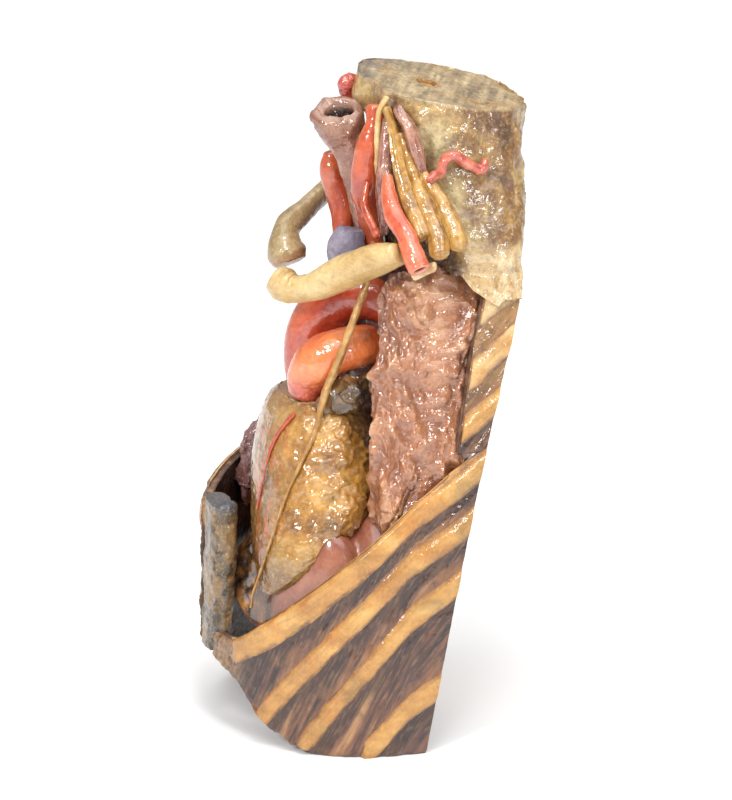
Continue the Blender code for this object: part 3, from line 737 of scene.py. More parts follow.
OCHRE = ("a87842", "c39153", "d5a561", "e2b774")
CREAM = ("c7a274", "dcbb8b", "ecd2a6", "f3e0bd")
TINTS = {"rib_3": CREAM, "rib_4": ("b98f58", "d6ad74", "e4c08a", "efd2a2")}


def build_wall():
    """The muscle layers of both sides and the ribs on them."""
    for side, margin, first_long, size in (("left", LEFT_TOP, 6, (230, 190)), ("right", RIGHT_TOP, 5, (150, 130))):
        long_ribs = [f"rib_{n}" for n in range(first_long, 10)]
        strip_ribs = [f"rib_{n}" for n in range(3, first_long)]
        start = float(np.interp(CUT_TURN, *margin)) + 0.6
        wall_sheet(
            side, f"{side}_lower_chest_muscle", 10.5,
            lambda turn: np.interp(turn, FOOT_TURN, FOOT_Z), lambda turn: np.interp(turn, *margin), size, long_ribs,
        )
        wall_sheet(
            side, f"{side}_upper_chest_muscle", STRIP_TURN,
            lambda turn: start + 0 * turn, lambda turn: STRIP_TOP_Z + 0 * turn, (26, 190), strip_ribs, False,
        )
        for name in RIBS:
            rib_band(side, name, TINTS.get(name, OCHRE))


# --- Organs ------------------------------------------------------------------------------------------------------

# Each row of the heart: its height, its middle across and in depth, its half width and its half depth.
HEART = (
    (219, 12, -40, 34, 19),
    (211, 11, -38, 47, 28),
    (190, 13, -38, 54, 36),
    (165, 18, -39, 56, 40),
    (140, 26, -47, 52, 34),
    (122, 36, -58, 40, 25),
    (108, 42, -69, 27, 13),
    (100, 47, -76, 13, 6.5),
)
BREASTBONE = (
    (50, 1, -104.5, 15, 5.5), (66, 1, -102.5, 17.5, 6.5), (95, 2, -100, 17.5, 7.5), (130, 2, -99, 17.5, 7.5),
    (147, 1, -98.5, 17.5, 7.5),
)


def oval_rings(sections, sides, power):
    """Level superellipses from rows of z, x, y, half width and half depth."""
    turn = around(sides)
    z, x, y, rx, ry = (sections[:, n : n + 1] for n in range(5))
    return stack(x + rx * squared(np.cos(turn), 2 / power), y + ry * squared(np.sin(turn), 2 / power), z)


def build_heart():
    """The heart: level superellipses, lumped and wrinkled by noise, more so towards the back and the left."""
    rings = shut(oval_rings(smooth_path(HEART, 190), 210, 2.2), 14)
    behind = step(-75, -35, rings[..., 1]) * step(-10, 40, rings[..., 0])
    lumps = 2.2 * cloud(rings, 19, 3, 101) * (0.4 + 0.8 * behind)
    wrinkles = 2.0 * (creases(rings, 10, 3, 103) - 0.35) * (0.3 + behind)
    rings = raised(rings, lumps + wrinkles)
    rings[..., 2] = np.maximum(rings[..., 2], dome_z(rings[..., 0], rings[..., 1]) + 2.0)
    x, y, z = np.moveaxis(rings, -1, 0)
    front = step(-56, -74, y) * step(70, 40, x)
    fibre = cloud(stack(x / 4 + z / 26, y / 4, z / 24), 1, 3, 109)
    tone = 0.52 + 0.6 * cloud(rings, 21, 4, 105) + 0.25 * cloud(rings, 5, 3, 106)
    paint = coats(
        wash(tone, "6b4822", "9c6d33", "be8b41", "d8a757", "e8c27a"),
        ("7d6a45", 0.45 * step(0.15, 0.7, cloud(rings, 15, 3, 107))),
        ("967650", 0.6 * front),
        ("d06a34", 0.8 * front * step(0.05, 0.4, fibre)),
        ("7d7058", 0.65 * front * step(0.1, 0.5, -fibre)),
        ("8d6a42", 0.5 * step(205, 218, z)),
        ("6f4f2a", 0.7 * step(148, 112, z)),
    )
    ring_piece("heart", rings, paint, "heart_fat")


def heart_skin(z, angle, off):
    """A point off the heart's surface, at an angle from +X towards +Y in degrees."""
    rows = np.array(HEART[::-1], float)
    x, y, rx, ry = (np.interp(z, rows[:, 0], rows[:, n]) for n in range(1, 5))
    c, s = math.cos(math.radians(angle)), math.sin(math.radians(angle))
    across, deep = math.copysign(abs(c) ** 0.91, c), math.copysign(abs(s) ** 0.91, s)
    return x + (rx + off) * across, y + (ry + off) * deep, z


def lung_rings(front_of, inner_front, inner_back, base, top, rows=230, sides=220):
    """Level sections with rounded corners between the wall, the cut back and the middle of the chest."""
    v = np.linspace(0.004, 0.996, rows)[:, None]
    turn = (2 * np.pi * (np.arange(sides) + 0.5) / sides)[None, :]
    z = base + (top - base) * (0.5 - 0.5 * np.cos(np.pi * v)) + 0 * turn
    size = np.maximum(0.12, (1 - np.abs(2 * v - 1) ** 5) ** 0.45)
    front, back = front_of(z), back_y(z) - 0.5
    p = squared(np.cos(turn), 0.5) * size
    q = squared(np.sin(turn), 0.5) * size
    y = front + (back - front) * (q + 1) / 2
    inner = inner_front + (inner_back - inner_front) * (q + 1) / 2
    x = inner + (wall_x(y, z, WALL_THICK + 1.2) - inner) * (p + 1) / 2
    return stack(x, y, np.maximum(z, dome_z(x, y) + 3.0))


def build_lung(side, rings, tones):
    """A lung: creases drawn out upwards, an oblique fissure and fine pits, over soft swellings."""
    rings = shut(rings, 10)
    x, y, z = np.moveaxis(rings, -1, 0)
    behind = step(0, 6, back_y(z) - 0.5 - y)
    drawn = stack(x * 0.9, y * 0.9 + 0.12 * z, z * 0.4)
    folds = creases(drawn + 3.0 * cloud(rings, 14, 2, 207)[..., None], 13.0, 3, 201)
    fissure = z - (150 + 2.1 * (y + 6)) + 3.0 * cloud(rings, 10, 2, 205)
    groove = np.exp(-((fissure / 2.0) ** 2)) + 0.7 * np.exp(-(((fissure - 8) / 1.6) ** 2))
    pits = cloud(rings, 2.6, 2, 206)
    drawn = stack(x, y + 0.3 * z, z * 0.35)
    wrinkles = creases(drawn + 2.0 * cloud(rings, 9, 2, 208)[..., None], 6.5, 2, 209)
    swell = cloud(rings, 24, 3, 203)
    lift = 2.6 * swell + 4.6 * (folds - 0.4) + 2.2 * (wrinkles - 0.4) - 2.0 * groove + 0.12 * pits
    rings = raised(rings, lift * behind)
    rings[..., 1] = np.minimum(rings[..., 1], back_y(rings[..., 2]) - 0.5)
    rings[..., 2] = np.maximum(rings[..., 2], dome_z(rings[..., 0], rings[..., 1]) + 1.5)
    # lighter on the raised folds and wrinkles, darker between them: painted shade of the hollows over a random tone
    tone = 0.5 + 0.45 * cloud(rings, 26, 4, 211) + 0.45 * (folds - 0.35) + 0.2 * (wrinkles - 0.3) + 0.12 * pits
    paint = coats(
        wash(tone, *tones),
        # painted shade in the fissure's groove
        ("6e4636", 0.7 * groove),
        ("5c3c2c", 0.3 * step(0.25, 0.6, cloud(rings, 5, 2, 213))),
        # painted shadow along the lung's top, under the neck and plexus
        ("8a5f4a", 0.5 * step(292, 304, z)),
    )
    ring_piece(f"{side}_lung", rings, paint, "lung_brown")


def build_lungs():
    """Both lungs, the right one darker and reaching further forward."""
    left = lung_rings(lambda z: np.interp(z, (145, 161, 211, 286), (-14, -17, -17, -11)), 68, 36, 128, 306)
    build_lung("left", left, ("6e402c", "9a6244", "bb8059", "d6a278"))
    right = lung_rings(lambda z: np.interp(z, (120, 170, 211, 286), (-74, -66, -12, -4)), 62, 37, 116, 306, 170, 160)
    build_lung("right", right * TO_RIGHT, ("4e3236", "70494a", "8c6260", "a47a72"))


def build_diaphragm():
    """The diaphragm: a dome between an upper and a lower surface on a round grid, smooth on the left, torn in
    front."""
    r = (np.linspace(0.05, 1, 130) ** 0.8)[:, None]
    turn = around(240)
    x, y = DOME_X * r * np.cos(turn), DOME_MID + DOME_Y * r * np.sin(turn)
    t = np.clip((np.abs(x) - 16) / 24, 0, 1)
    y = np.minimum(y, (10 + 15 * t * t * (3 - 2 * t)) * (0.7 + 0.3 * r))
    top = dome_z(x, y)
    flat = stack(x, y, 0.0)
    across = swell_reach(x, y)
    wave = 1.5 * np.sin(across * 15 + 1.6 * cloud(flat, 30, 2, 302))
    wave = wave * step(1.1, 0.8, across) * step(0.1, 0.35, across)
    torn = spot(flat, (18, -84, 0), (34, 20, 9)) + 0.8 * spot(flat, (-20, -80, 0), (30, 26, 9))
    lift = 0.8 * cloud(flat, 22, 3, 301) + wave + torn * (2.6 * cloud(flat, 5, 3, 303) + 0.8)
    upper = stack(x, y, top + lift * step(1.0, 0.985, r))
    lower = stack(x * 0.985, y * 0.985, top - 4.2)
    rings = np.concatenate([upper, lower[::-1]])
    torn = np.concatenate([torn, 0 * torn]) + 0.15 * cloud(rings, 8, 2, 308)
    tone = 0.5 + 0.5 * cloud(rings, 30, 3, 305) + 0.2 * cloud(rings, 6, 3, 306)
    ragged = wash(0.5 + 0.9 * cloud(rings, 7, 3, 307), "241a13", "4a3420", "8a6030", "c28a3f")
    paint = blend(wash(tone, "75402f", "965743", "b17257", "ca8f73"), ragged, step(0.1, 0.45, torn))
    ring_piece("diaphragm", rings, paint, "diaphragm_pink")


def build_backbone():
    """The backbone: bodies with waists between discs, rounded in front and with a ridge of spines behind. A strap
    of muscle, a rounded box in section, runs up on each side of it."""
    z = np.linspace(0, SPINE_TOP_Z, 300)[:, None]
    turn = around(96)
    middle = np.interp(z, (0, 100, 180, 250, SPINE_TOP_Z), (0, 20, 34, 43, 46))
    level = (z + 0 * turn) % 25 / 25
    disc = step(0.14, 0.04, np.minimum(level, 1 - level))
    radius = 15.6 + 1.3 * np.cos(2 * np.pi * level) + 0.4 * disc
    x, y = radius * np.cos(turn), middle + radius * np.sin(turn)
    spine = 3.0 * np.exp(-((np.abs(level - 0.45) / 0.22) ** 2)) * np.exp(-((x / 5.5) ** 2))
    y = np.where(np.sin(turn) > 0.3, back_y(z) + back_ridge(z) - 3.0 + spine, y)
    rings = stack(x, y, z)
    rings = raised(rings, 0.5 * cloud(rings, 7, 3, 401) * (1 - disc))
    rings[..., 2] = z
    paint = coats(
        wash(0.5 + 0.5 * cloud(rings, 12, 3, 403), "b08a5b", "d0ab77", "e2c495", "efdab3"),
        ("8d93a0", 0.75 * disc),
        ("a07c52", 0.4 * step(0.2, 0.7, cloud(rings, 5, 2, 405))),
    )
    ring_piece("backbone", rings, paint, "bone", crease=40)
    turn = around(90)
    half_deep = (22.5 + 0.8 * back_ridge(z)) / 2
    x = 26.5 + 7.6 * squared(np.cos(turn), 0.55)
    y = back_y(z) - 23 + half_deep - 0.3 + half_deep * squared(np.sin(turn), 0.55)
    rings = stack(x, y, z)
    strands = cloud(stack(x / 2.0, y / 2.0, z / 22), 1, 3, 411)
    rings = raised(rings, 0.7 * strands + 0.7 * cloud(rings, 16, 2, 413) - 0.4)
    rings[..., 2] = z
    paint = coats(
        wash(0.5 + 0.6 * strands, "43332f", "6b4c41", "8a6353", "ab8068"),
        ("c09a68", 0.5 * step(0.25, 0.7, cloud(rings, 18, 3, 415))),
    )
    for side, mirror in (("left", (1, 1, 1)), ("right", TO_RIGHT)):
        ring_piece(f"{side}_back_muscle", rings * np.array(mirror), paint, "muscle_purple")


# --- Neck --------------------------------------------------------------------------------------------------------

# Each row: height, half width, front, back and how square the section is.
NECK = (
    (309.5, 79, 10, 85, 7.0),
    (328, 71.5, 9, 91.5, 5.5),
    (350, 63, 8, 96, 3.8),
    (375, 56, 7, 98, 2.9),
    (392, 55, 4, 99, 2.6),
    (402, 54, 0, 100, 2.4),
    (415, 53, -2, 101, 2.3),
)
NECK_LEDGES = (
    ((70, 24, 352), (6, 6, 2.6)),
    ((70, 32, 349), (6, 6, 2.8)),
    ((68, 42, 352), (6, 6, 3.0)),
    ((70, 38, 338), (6, 4, 6)),
    ((66, 50, 384), (7, 5, 7)),
)


def neck_skirt(ring, count=26):
    """Rings that carry the neck's lowest one down over the cut wall on each side: the drop grows from front to back,
    and the height at a share s of it is z - s * drop, where the ring has moved out to the wall."""
    x, y, z = ring[None, :, 0], ring[None, :, 1], ring[None, :, 2]
    s = np.linspace(1, 0, count + 1)[:-1, None]
    at_side = step(20, 50, np.abs(x))
    drop = 2.0 + 21 * step(34, 58, y) * at_side + 4.0 * cloud(ring[None] * np.array((1, 1, 0)), 7, 3, 541)
    low = z - s * np.maximum(1.0, drop)
    back = np.minimum(y, back_y(low) + 0.4)
    wall = np.sign(x) * wall_x(back, low, -0.9)
    on_wall = step(34, 46, y) * at_side * step(0.0, 0.35, s)
    rings = stack(x * (1 - on_wall) + wall * on_wall, back, low)
    return raised(rings, 0.8 * cloud(rings, 8, 3, 543) * step(0, 0.2, s))


def neck_sides(sides, rows):
    """The neck's sides: level ovals that tilt with the cut towards the top, lumped, folded and ledged."""
    turn = around(sides)
    c, s = np.cos(turn), np.sin(turn)
    z, half, front, back, power = (smooth_path(NECK, rows)[:, n : n + 1] for n in range(5))
    power = np.where(s < 0, 2.7, power)
    x = half * squared(c, 2 / power)
    y = (front + back) / 2 + (back - front) / 2 * squared(s, 2 / power)
    share = step(0.45, 1.0, np.linspace(0, 1, rows))[:, None]
    z = z * (1 - share) + (z - 415 + neck_cut(x[-1], y[-1])[None]) * share
    rings = stack(x, y, z)
    lumps = 2.6 * cloud(rings, 24, 3, 501) + 1.1 * cloud(rings, 8, 3, 502)
    folds = 2.2 * (creases(rings * np.array((1, 1, 0.5)), 16, 2, 503) - 0.4)
    front_lump = 8 * spot(rings, (-12, -2, 405), (18, 9, 12))
    hollow = 9 * step(345, 318, rings[..., 2]) * step(44, 30, rings[..., 1]) * step(0, 30, np.abs(rings[..., 0]))
    ledge = 3.5 * sum(spot(rings, place, reach) for place, reach in NECK_LEDGES)
    rings = raised(rings, lumps + folds - 1.2 + front_lump - hollow + ledge)
    rings[..., 1] = np.minimum(rings[..., 1], 101.0)
    return np.concatenate([neck_skirt(rings[0]), rings])


def neck_rings(sides=260, rows=150):
    """The neck's muscles: its sides, then the cut face drawn in to the spinal canal, and the canal's pit."""
    c, s = np.cos(around(sides))[0], np.sin(around(sides))[0]
    side_rings = neck_sides(sides, rows)
    rim = side_rings[-1]
    canal = stack(7.6 * c * (1 + 0.18 * np.cos(3 * around(sides)[0])), CORD_Y + 6.4 * s, 0 * c)
    canal[:, 2] = neck_cut(canal[:, 0], canal[:, 1])
    draw = np.linspace(0, 1, 90)[1:, None, None]
    face = rim * (1 - draw) + canal * draw
    streaks = cloud(stack(face[..., 0] / 9, face[..., 1] / 2.6, 0.0), 1, 3, 505)
    waves = cloud(face, 16, 3, 507)
    hold = step(1.0, 0.93, draw[..., 0])
    dip = 2.2 * step(0.08, 0.0, draw[..., 0]) * (0.6 + cloud(face, 9, 3, 509))
    face[..., 2] += (1.3 * waves + 0.5 * streaks - dip) * hold
    narrowed = canal * np.array((0.93, 1, 1)) + np.array((0, 0.07, 0)) * (CORD_Y - canal[:, 1:2])
    pit_low = narrowed - np.array((0, 0, 13.5))
    pit = canal * (1 - draw[9::10]) + pit_low * draw[9::10]
    return np.concatenate([shut(side_rings, 6)[:6], side_rings, face, pit, shut(pit[-1:], 4)[-4:]])


def neck_paint(rings):
    """Mottled tans and browns on the sides, drawn out upwards behind and bleached over the cut wall, and rings of
    pale fibres on the cut face round the canal."""
    x, y, z = np.moveaxis(rings, -1, 0)
    tone = cloud(rings * np.array((1, 1, 0.6)), 26, 4, 511)
    rear = step(58, 80, y)
    tall = cloud(stack(x / 3, y / 3, z / 22), 1, 3, 517)
    pale = spot(rings, (60, 28, 385), (22, 16, 15)) + 0.8 * spot(rings, (68, 40, 352), (18, 14, 20))
    bruise = spot(rings, (52, 66, 396), (20, 16, 9)) + 0.8 * spot(rings, (66, 52, 345), (16, 12, 26))
    paint = coats(
        wash(0.5 + 0.7 * tone + 0.25 * cloud(rings, 6, 3, 512), "6b4d33", "98754a", "bd9c66", "d4b983", "e6d2a4"),
        ("6d4a44", 0.8 * step(0.08, 0.42, cloud(rings * np.array((1, 1, 0.7)), 19, 4, 513))),
        ("9a7030", 0.65 * step(0.15, 0.5, cloud(rings, 15, 4, 515))),
        ("4d382a", 0.6 * step(0.3, 0.6, cloud(rings, 9, 3, 519))),
        ("8a6238", 0.75 * rear * step(-0.2, 0.5, tall)),
        ("d8b07a", 0.5 * rear * step(0.05, 0.5, -tall) * step(330, 312, z)),
        ("e6d6a6", 0.7 * step(0.2, 0.9, pale)),
        ("6a4a46", 0.6 * step(0.25, 0.9, bruise)),
    )
    wood = cloud(stack(x / 3, y / 1.6 + z / 6, z / 14 - y / 9), 1, 3, 525)
    bleached = wash(0.55 + 0.6 * wood, "9a7348", "cfae7e", "e3cda6", "f0e2c6")
    paint = blend(paint, bleached, 0.85 * (step(326, 312, z) * step(36, 48, y)))
    # painted shadow on the neck's low front, under the plexus and over the lung's top
    paint = coats(paint, ("3d2a1e", 0.85 * step(340, 318, z) * step(44, 34, y)))
    under_cut = neck_cut(x, y) - z
    on_top = step(2.5, 0.8, under_cut)
    streaks = cloud(stack(x / 12 + y / 9, y / 2.4 + x / 6, 0.0), 1, 3, 505)
    tan = coats(
        wash(0.48 + 0.5 * streaks + 0.3 * cloud(rings, 12, 3, 522), "84705a", "ad966f", "ccb48c", "e2cfa9"),
        ("77706c", 0.8 * step(34, -6, y + 0.5 * x) * step(-0.4, 0.3, cloud(rings, 14, 3, 521))),
        ("b98d4e", 0.5 * step(0.1, 0.5, cloud(rings, 20, 3, 523))),
        ("4f4036", 0.6 * step(0.35, 0.6, cloud(rings, 7, 3, 524))),
    )
    near = np.exp(-((np.maximum(0, np.hypot(x / 1.2, y - CORD_Y) - 6.5) / 3.0) ** 2)) * on_top
    # painted shade down in the canal's pit round the cord
    in_pit = step(1.0, 6.0, under_cut) * (np.hypot(x, y - CORD_Y) < 11) * (z > 380)
    return coats(blend(paint, tan, on_top), ("b98639", 0.8 * near), ("5b3f1e", 0.9 * in_pit))


def build_neck():
    """The block of neck muscles, and the spinal cord in its canal with a groove across the top."""
    rings = neck_rings()
    ring_piece("neck_muscles", rings, neck_paint(rings), "neck_tissue", crease=45)
    turn = around(260)[0]
    draw = np.linspace(0, 1, 26)[:, None, None]
    top = stack(5.4 * np.cos(turn) * (1 + 0.1 * np.sin(2 * turn)), CORD_Y + 4.4 * np.sin(turn), 0 * turn)
    top[:, 2] = neck_cut(top[:, 0], top[:, 1]) - 2.0
    low = top - np.array((0, 0, 11.0))
    cord = shut(low * (1 - draw) + top * draw, 8)
    under_cut = cord[..., 2] - neck_cut(cord[..., 0], cord[..., 1])
    groove = 0.6 * np.exp(-((cord[..., 0] / 2.0) ** 2)) * step(-3, -1.5, under_cut)
    cord[..., 2] += 0.5 * cloud(cord, 4, 2, 531) - groove
    paint = wash(0.5 + 0.7 * cloud(cord, 4, 3, 533), "8a5f25", "c08a3c", "dba654")
    ring_piece("spinal_cord", cord, paint, "nerve_yellow")


# --- Vessels, nerves and bones along paths -------------------------------------------------------------------------

ARTERY = ("a53d26", "c65734", "d97248", "e8946a")
NERVE = ("7d5524", "a67a3a", "c49850", "dab676")
STRAP = ("6d473e", "935f52", "ae7a69", "cc9f8a")
PLEXUS = dict(sway=0.8, rings=110, strands=True)
SCALENE = dict(flat=0.7, strands=True, rings=90, sides=48)

# Each piece: its finish, its colours from dark to light, how its tube is made, and its route of x, y, z, radius.
TUBES = {
    "left_carotid_artery": ("artery_red", ARTERY, dict(sway=0.5), (
        (13, 3, 299, 6), (14, 1.5, 317, 6), (21, -5, 336, 7.2), (27, -8, 354, 9), (30, -7, 377, 8),
        (30, -2.5, 393, 6), (28, -2.5, 403, 5.5),
    )),
    "right_carotid_artery": ("artery_red", ARTERY, dict(sway=0.5), (
        (-9, -13, 297, 6.5), (-10, -12.5, 307, 6.5), (-11, -12, 319, 7.2), (-15, -11, 331, 8.5),
        (-21, -14, 346, 9), (-21, -17, 358, 8.2), (-20, -18, 366, 5),
    )),
    "aorta": ("artery_red", ("a83c28", "ca563a", "db6e4a", "ea9068"), dict(sway=0.9, rings=130, sides=80), (
        (-4, -36, 225, 16), (0, -37, 240, 17), (4, -34, 260, 17.5), (12, -22, 276, 16.5), (22, -6, 281, 14.5),
        (30, 10, 272, 12), (33, 18, 252, 11),
    )),
    "pulmonary_trunk": (
        "artery_red", ("c4502e", "e57040", "f08d54", "f7ad78"), dict(sway=1.3, rings=130, sides=90), (
            (29, -47, 224, 12), (32, -45, 234, 14.5), (39, -41, 245, 15.5), (43, -31, 252, 14),
            (42, -18, 254, 13.5), (40, -7, 254, 12),
        ),
    ),
    "left_pulmonary_vein": (
        "auricle_brown", ("5a4430", "7d6242", "9a7e56", "b59a6e"), dict(sway=0.6),
        ((46, -17, 231, 6), (48, -9, 231, 8), (48, 0, 230, 7.5)),
    ),
    "superior_vena_cava": (
        "vein_blue", ("6d6676", "877f8e", "9d96a6", "b1abb8"), dict(sway=0.4),
        ((-34, -32, 222, 8.5), (-34, -29, 240, 9), (-33, -26, 258, 8.5), (-31, -23, 272, 7.5)),
    ),
    "left_vagus_nerve": (
        "nerve_yellow", ("b08a52", "d0ab6c", "e0c088", "efd8a8"), dict(sway=0.5),
        ((45, 1, 412, 1.8), (42.5, -3, 403, 1.8), (41, -3.5, 391, 1.9), (40, -3.5, 372, 1.9), (38, -1.5, 355, 1.6)),
    ),
    "left_front_plexus_cord": ("nerve_yellow", NERVE, PLEXUS | dict(sway=0.7), (
        (45, 1, 405, 2.6), (50, 4, 391, 3.6), (57, 6, 372, 4.8), (66, 9, 353, 5.4), (76, 11.5, 341, 5.6),
        (84, 13.3, 332, 5.4),
    )),
    "left_middle_plexus_cord": ("nerve_yellow", NERVE, PLEXUS, (
        (53, 8, 390, 2.2), (60, 13, 371, 4.2), (67, 17, 356, 5), (76, 20.5, 342, 5.8), (86, 22.5, 330, 6.6),
        (93, 22, 322, 6.0),
    )),
    "left_rear_plexus_cord": ("nerve_yellow", NERVE, PLEXUS, (
        (58, 15, 376, 2), (64, 21, 364, 3.6), (71, 27, 353, 4.8), (78, 31, 343, 5.8), (87, 33.5, 332, 6.4),
        (91, 34.5, 326, 5.8),
    )),
    "left_front_scalene_muscle": (
        "muscle_pink", STRAP, SCALENE | dict(sway=0.8, flat=0.8, rings=100),
        ((41, 2, 397, 3), (44.5, 1, 380, 5.6), (48.5, -1, 360, 6.8), (52, -2, 342, 6), (54, -3, 329, 3.5)),
    ),
    "left_middle_scalene_muscle": (
        "muscle_pink", ("74483c", "9a6858", "b8846e", "d2a48c"), SCALENE | dict(sway=0.6),
        ((49, 7.5, 405, 4), (55.5, 13, 393, 6.5), (60.5, 17, 377, 6), (62.5, 20, 364, 3)),
    ),
    "left_subclavian_artery": (
        "artery_red", ("b8452e", "d3623f", "e07a55", "ea9273"), dict(sway=0.5, rings=90, sides=48, bore=(3.0, 16)),
        ((62, -3, 366, 3.2), (71, -2.5, 346, 6), (85, 2, 334, 6.2), (96, 5, 321, 7), (100, 7, 315, 7)),
    ),
    "left_thyrocervical_artery": (
        "artery_red", ARTERY, dict(sway=0.3),
        ((40, -10, 358, 2), (44, -12.5, 344, 2.5), (55, -10, 333, 2.6), (63, -9.5, 329, 2.6)),
    ),
    "left_neck_artery": ("artery_red", ("963c30", "c4604e", "db8068", "eaa88e"), dict(sway=0.8, rings=120), (
        (72, 21, 364, 2.2), (67, 26, 366, 3.0), (62.5, 31, 366, 3.0), (62, 34, 374, 3.2), (62, 40, 376.5, 3.3),
        (61.5, 49, 371, 3.2), (61.5, 58, 367, 3.0), (60, 61, 373, 2.4),
    )),
    "left_clavicle": (
        "bone", ("a8895a", "ccac74", "dfc48d", "eedcae"),
        dict(sway=1.0, flat=0.72, rings=130, sides=60, ends=(0.18, 0.3)), (
            (20, -64, 296, 13), (23, -60, 293, 15.5), (27, -56, 291, 13.5), (32, -51, 291, 11),
            (44, -41, 296, 12), (60, -26, 308, 13.5), (74, -12, 317, 12.5), (86, -3, 322, 9),
        ),
    ),
    "right_clavicle": (
        "bone", ("7a6644", "a8926a", "c8b088", "e2cfa8"),
        dict(sway=1.0, flat=0.8, rings=130, sides=60, ends=(0.12, 0.3)), (
            (-22, -45, 297, 14), (-24, -46.5, 302, 16), (-27, -47, 309, 13.5), (-33, -43, 318, 10),
            (-46, -28, 326, 8.5), (-63, -13, 332, 8.5), (-80, 0, 336, 9),
        ),
    ),
    "left_first_rib_end": (
        "bone", CREAM, dict(sway=0.4, flat=0.6), ((86, 8, 308, 3.5), (92, 13, 312.5, 3.8), (97, 17, 315, 3.4))
    ),
    "right_vertebral_artery": (
        "artery_red", ("8f2f2f", "bd4a42", "d2695a", "e79380"), dict(sway=1.6, sides=48),
        ((-20, -6, 400, 4), (-20, -8, 406, 5), (-19, -7.5, 412, 5.2), (-17, -5, 416, 4.2)),
    ),
}
MIRRORED = ("front_plexus_cord", "middle_plexus_cord", "rear_plexus_cord", "front_scalene_muscle")


def tube_piece(
    name, slot, tones, route, sway=0.3, flat=1.0, rings=70, sides=32, ends=(0.5, 0.5), bore=None, strands=False,
    mirror=(1, 1, 1),
):
    """A vessel, nerve, strap muscle or bone along its route, its skin swayed by noise of the size of its radius and,
    with strands, drawn into threads along it. Its name seeds the noise."""
    grid, inside = tube_rings(route, rings, sides, flat, ends, bore)
    seed = 600 + sum(map(ord, name)) % 300
    radius = np.mean([row[3] for row in route])
    deep = step(0.3, 0.6, inside)[:, None] if bore else 0.0
    along = np.linspace(0, 1, len(grid))[:, None]
    turn = around(sides)
    threads = cloud(stack(np.cos(turn) * 3.4, np.sin(turn) * 3.4, along * 2.5), 0.8, 3, seed + 9) if strands else 0.0
    lift = sway * cloud(grid, max(5.0, radius * 1.3), 3, seed) + 0.25 * sway * cloud(grid, 2.2, 2, seed + 3)
    grid = raised(grid, (lift + 0.55 * threads) * (1 - deep))
    tone = 0.5 + 0.55 * cloud(grid, max(7.0, radius * 2), 3, seed + 5) + 0.15 * cloud(grid, 2.5, 2, seed + 7)
    paint = wash(tone + 0.4 * threads, *tones)
    end = inside[:, None] + 0 * tone
    if bore:
        # a cut end: its rim pink, and its lumen painted dark red-black as painted shade
        paint = coats(paint, ("e9a795", step(0.05, 0.2, end) * step(0.55, 0.4, end)), ("3d0f0c", step(0.5, 0.7, end)))
    elif slot == "artery_red":
        paint = coats(paint, ("a93a2a", 0.5 * step(0.3, 0.7, end)))
    if name == "pulmonary_trunk":
        low = step(238, 226, grid[..., 2])
        clot = cloud(grid * np.array((1, 1, 2.5)), 7, 3, 77)
        paint = coats(paint, ("c4574a", 0.7 * low), ("7d2c24", 0.6 * low * step(0.05, 0.4, clot)))
    if name == "right_clavicle":
        cut = step(0.2, 0.7, end) * step(0.2, 0.1, along)
        worn = step(0.16, 0.1, along + 0.03 * cloud(grid, 6, 2, 9))
        paint = coats(paint, ("b98f62", 0.8 * worn), ("7a5a40", 0.6 * cut))
    ring_piece(name, grid * np.array(mirror), paint, slot)


def build_tubes():
    """Every vessel, nerve, strap muscle and bone that follows a path, and the copies on the right."""
    for name, (slot, tones, options, route) in TUBES.items():
        tube_piece(name, slot, tones, route, **options)
    for part in MIRRORED:
        slot, tones, options, route = TUBES[f"left_{part}"]
        tube_piece(f"right_{part}", slot, tones, route, mirror=TO_RIGHT, **options)


def build_airway():
    """The windpipe: a tube that widens to an oblique open rim, thick walled, its lumen painted near black as painted
    shade.
    """
    route = (
        (-2, 6, 290, 6.5), (-1.5, 2.3, 306, 6.5), (0, 0, 324, 6.5), (4, -5, 350, 8), (4, -10, 374, 10),
        (2, -16, 388, 13), (1, -18, 397, 14),
    )
    grid, inside = tube_rings(route, 110, 90, 1.25, (0.4, 0.4), (6.4, 22))
    middle = grid.mean(axis=1, keepdims=True)
    grid[..., 2] -= 0.55 * step(370, 396, grid[..., 2]) * (grid[..., 0] - middle[..., 0])
    mouth = step(378, 392, grid[..., 2])
    lift = (0.9 + 3.0 * mouth) * cloud(grid, 12, 3, 701) + 0.5 * cloud(grid, 3.5, 2, 703)
    grid = raised(grid, lift * (1 - step(0.3, 0.6, inside)[:, None]))
    end = inside[:, None] + 0 * lift
    tone = 0.5 + 0.5 * cloud(grid, 13, 3, 705) + 0.2 * cloud(grid, 3, 2, 706)
    paint = coats(
        wash(tone, "6f4437", "915f4d", "ab7b66", "c79a84"),
        ("9a7354", 0.7 * mouth * step(-0.2, 0.5, cloud(grid, 9, 3, 707))),
        ("b08a78", 0.7 * step(0.05, 0.3, end)),
        # painted shade: the lumen near black
        ("1d100b", step(0.56, 0.75, end)),
    )
    ring_piece("windpipe", grid, paint, "airway_brown")


def build_vein_stump():
    """The brachiocephalic vein's stump: a faceted tube, cut flat on top."""
    route = ((13, -17, 299, 9), (14, -17, 307, 10.5), (15, -16.5, 316, 10), (16, -15, 325, 7))
    grid, _ = tube_rings(route, 60, 64, 1.2, (0.3, 0.1))
    grid = raised(grid, 1.8 * (creases(grid, 12, 1, 711) - 0.5) + 0.3 * cloud(grid, 2.4, 2, 712))
    paint = wash(0.5 + 0.5 * cloud(grid, 9, 3, 713), "7b7385", "918a9c", "a59eae", "b9b3c1")
    ring_piece("brachiocephalic_vein", grid, paint, "vein_blue")


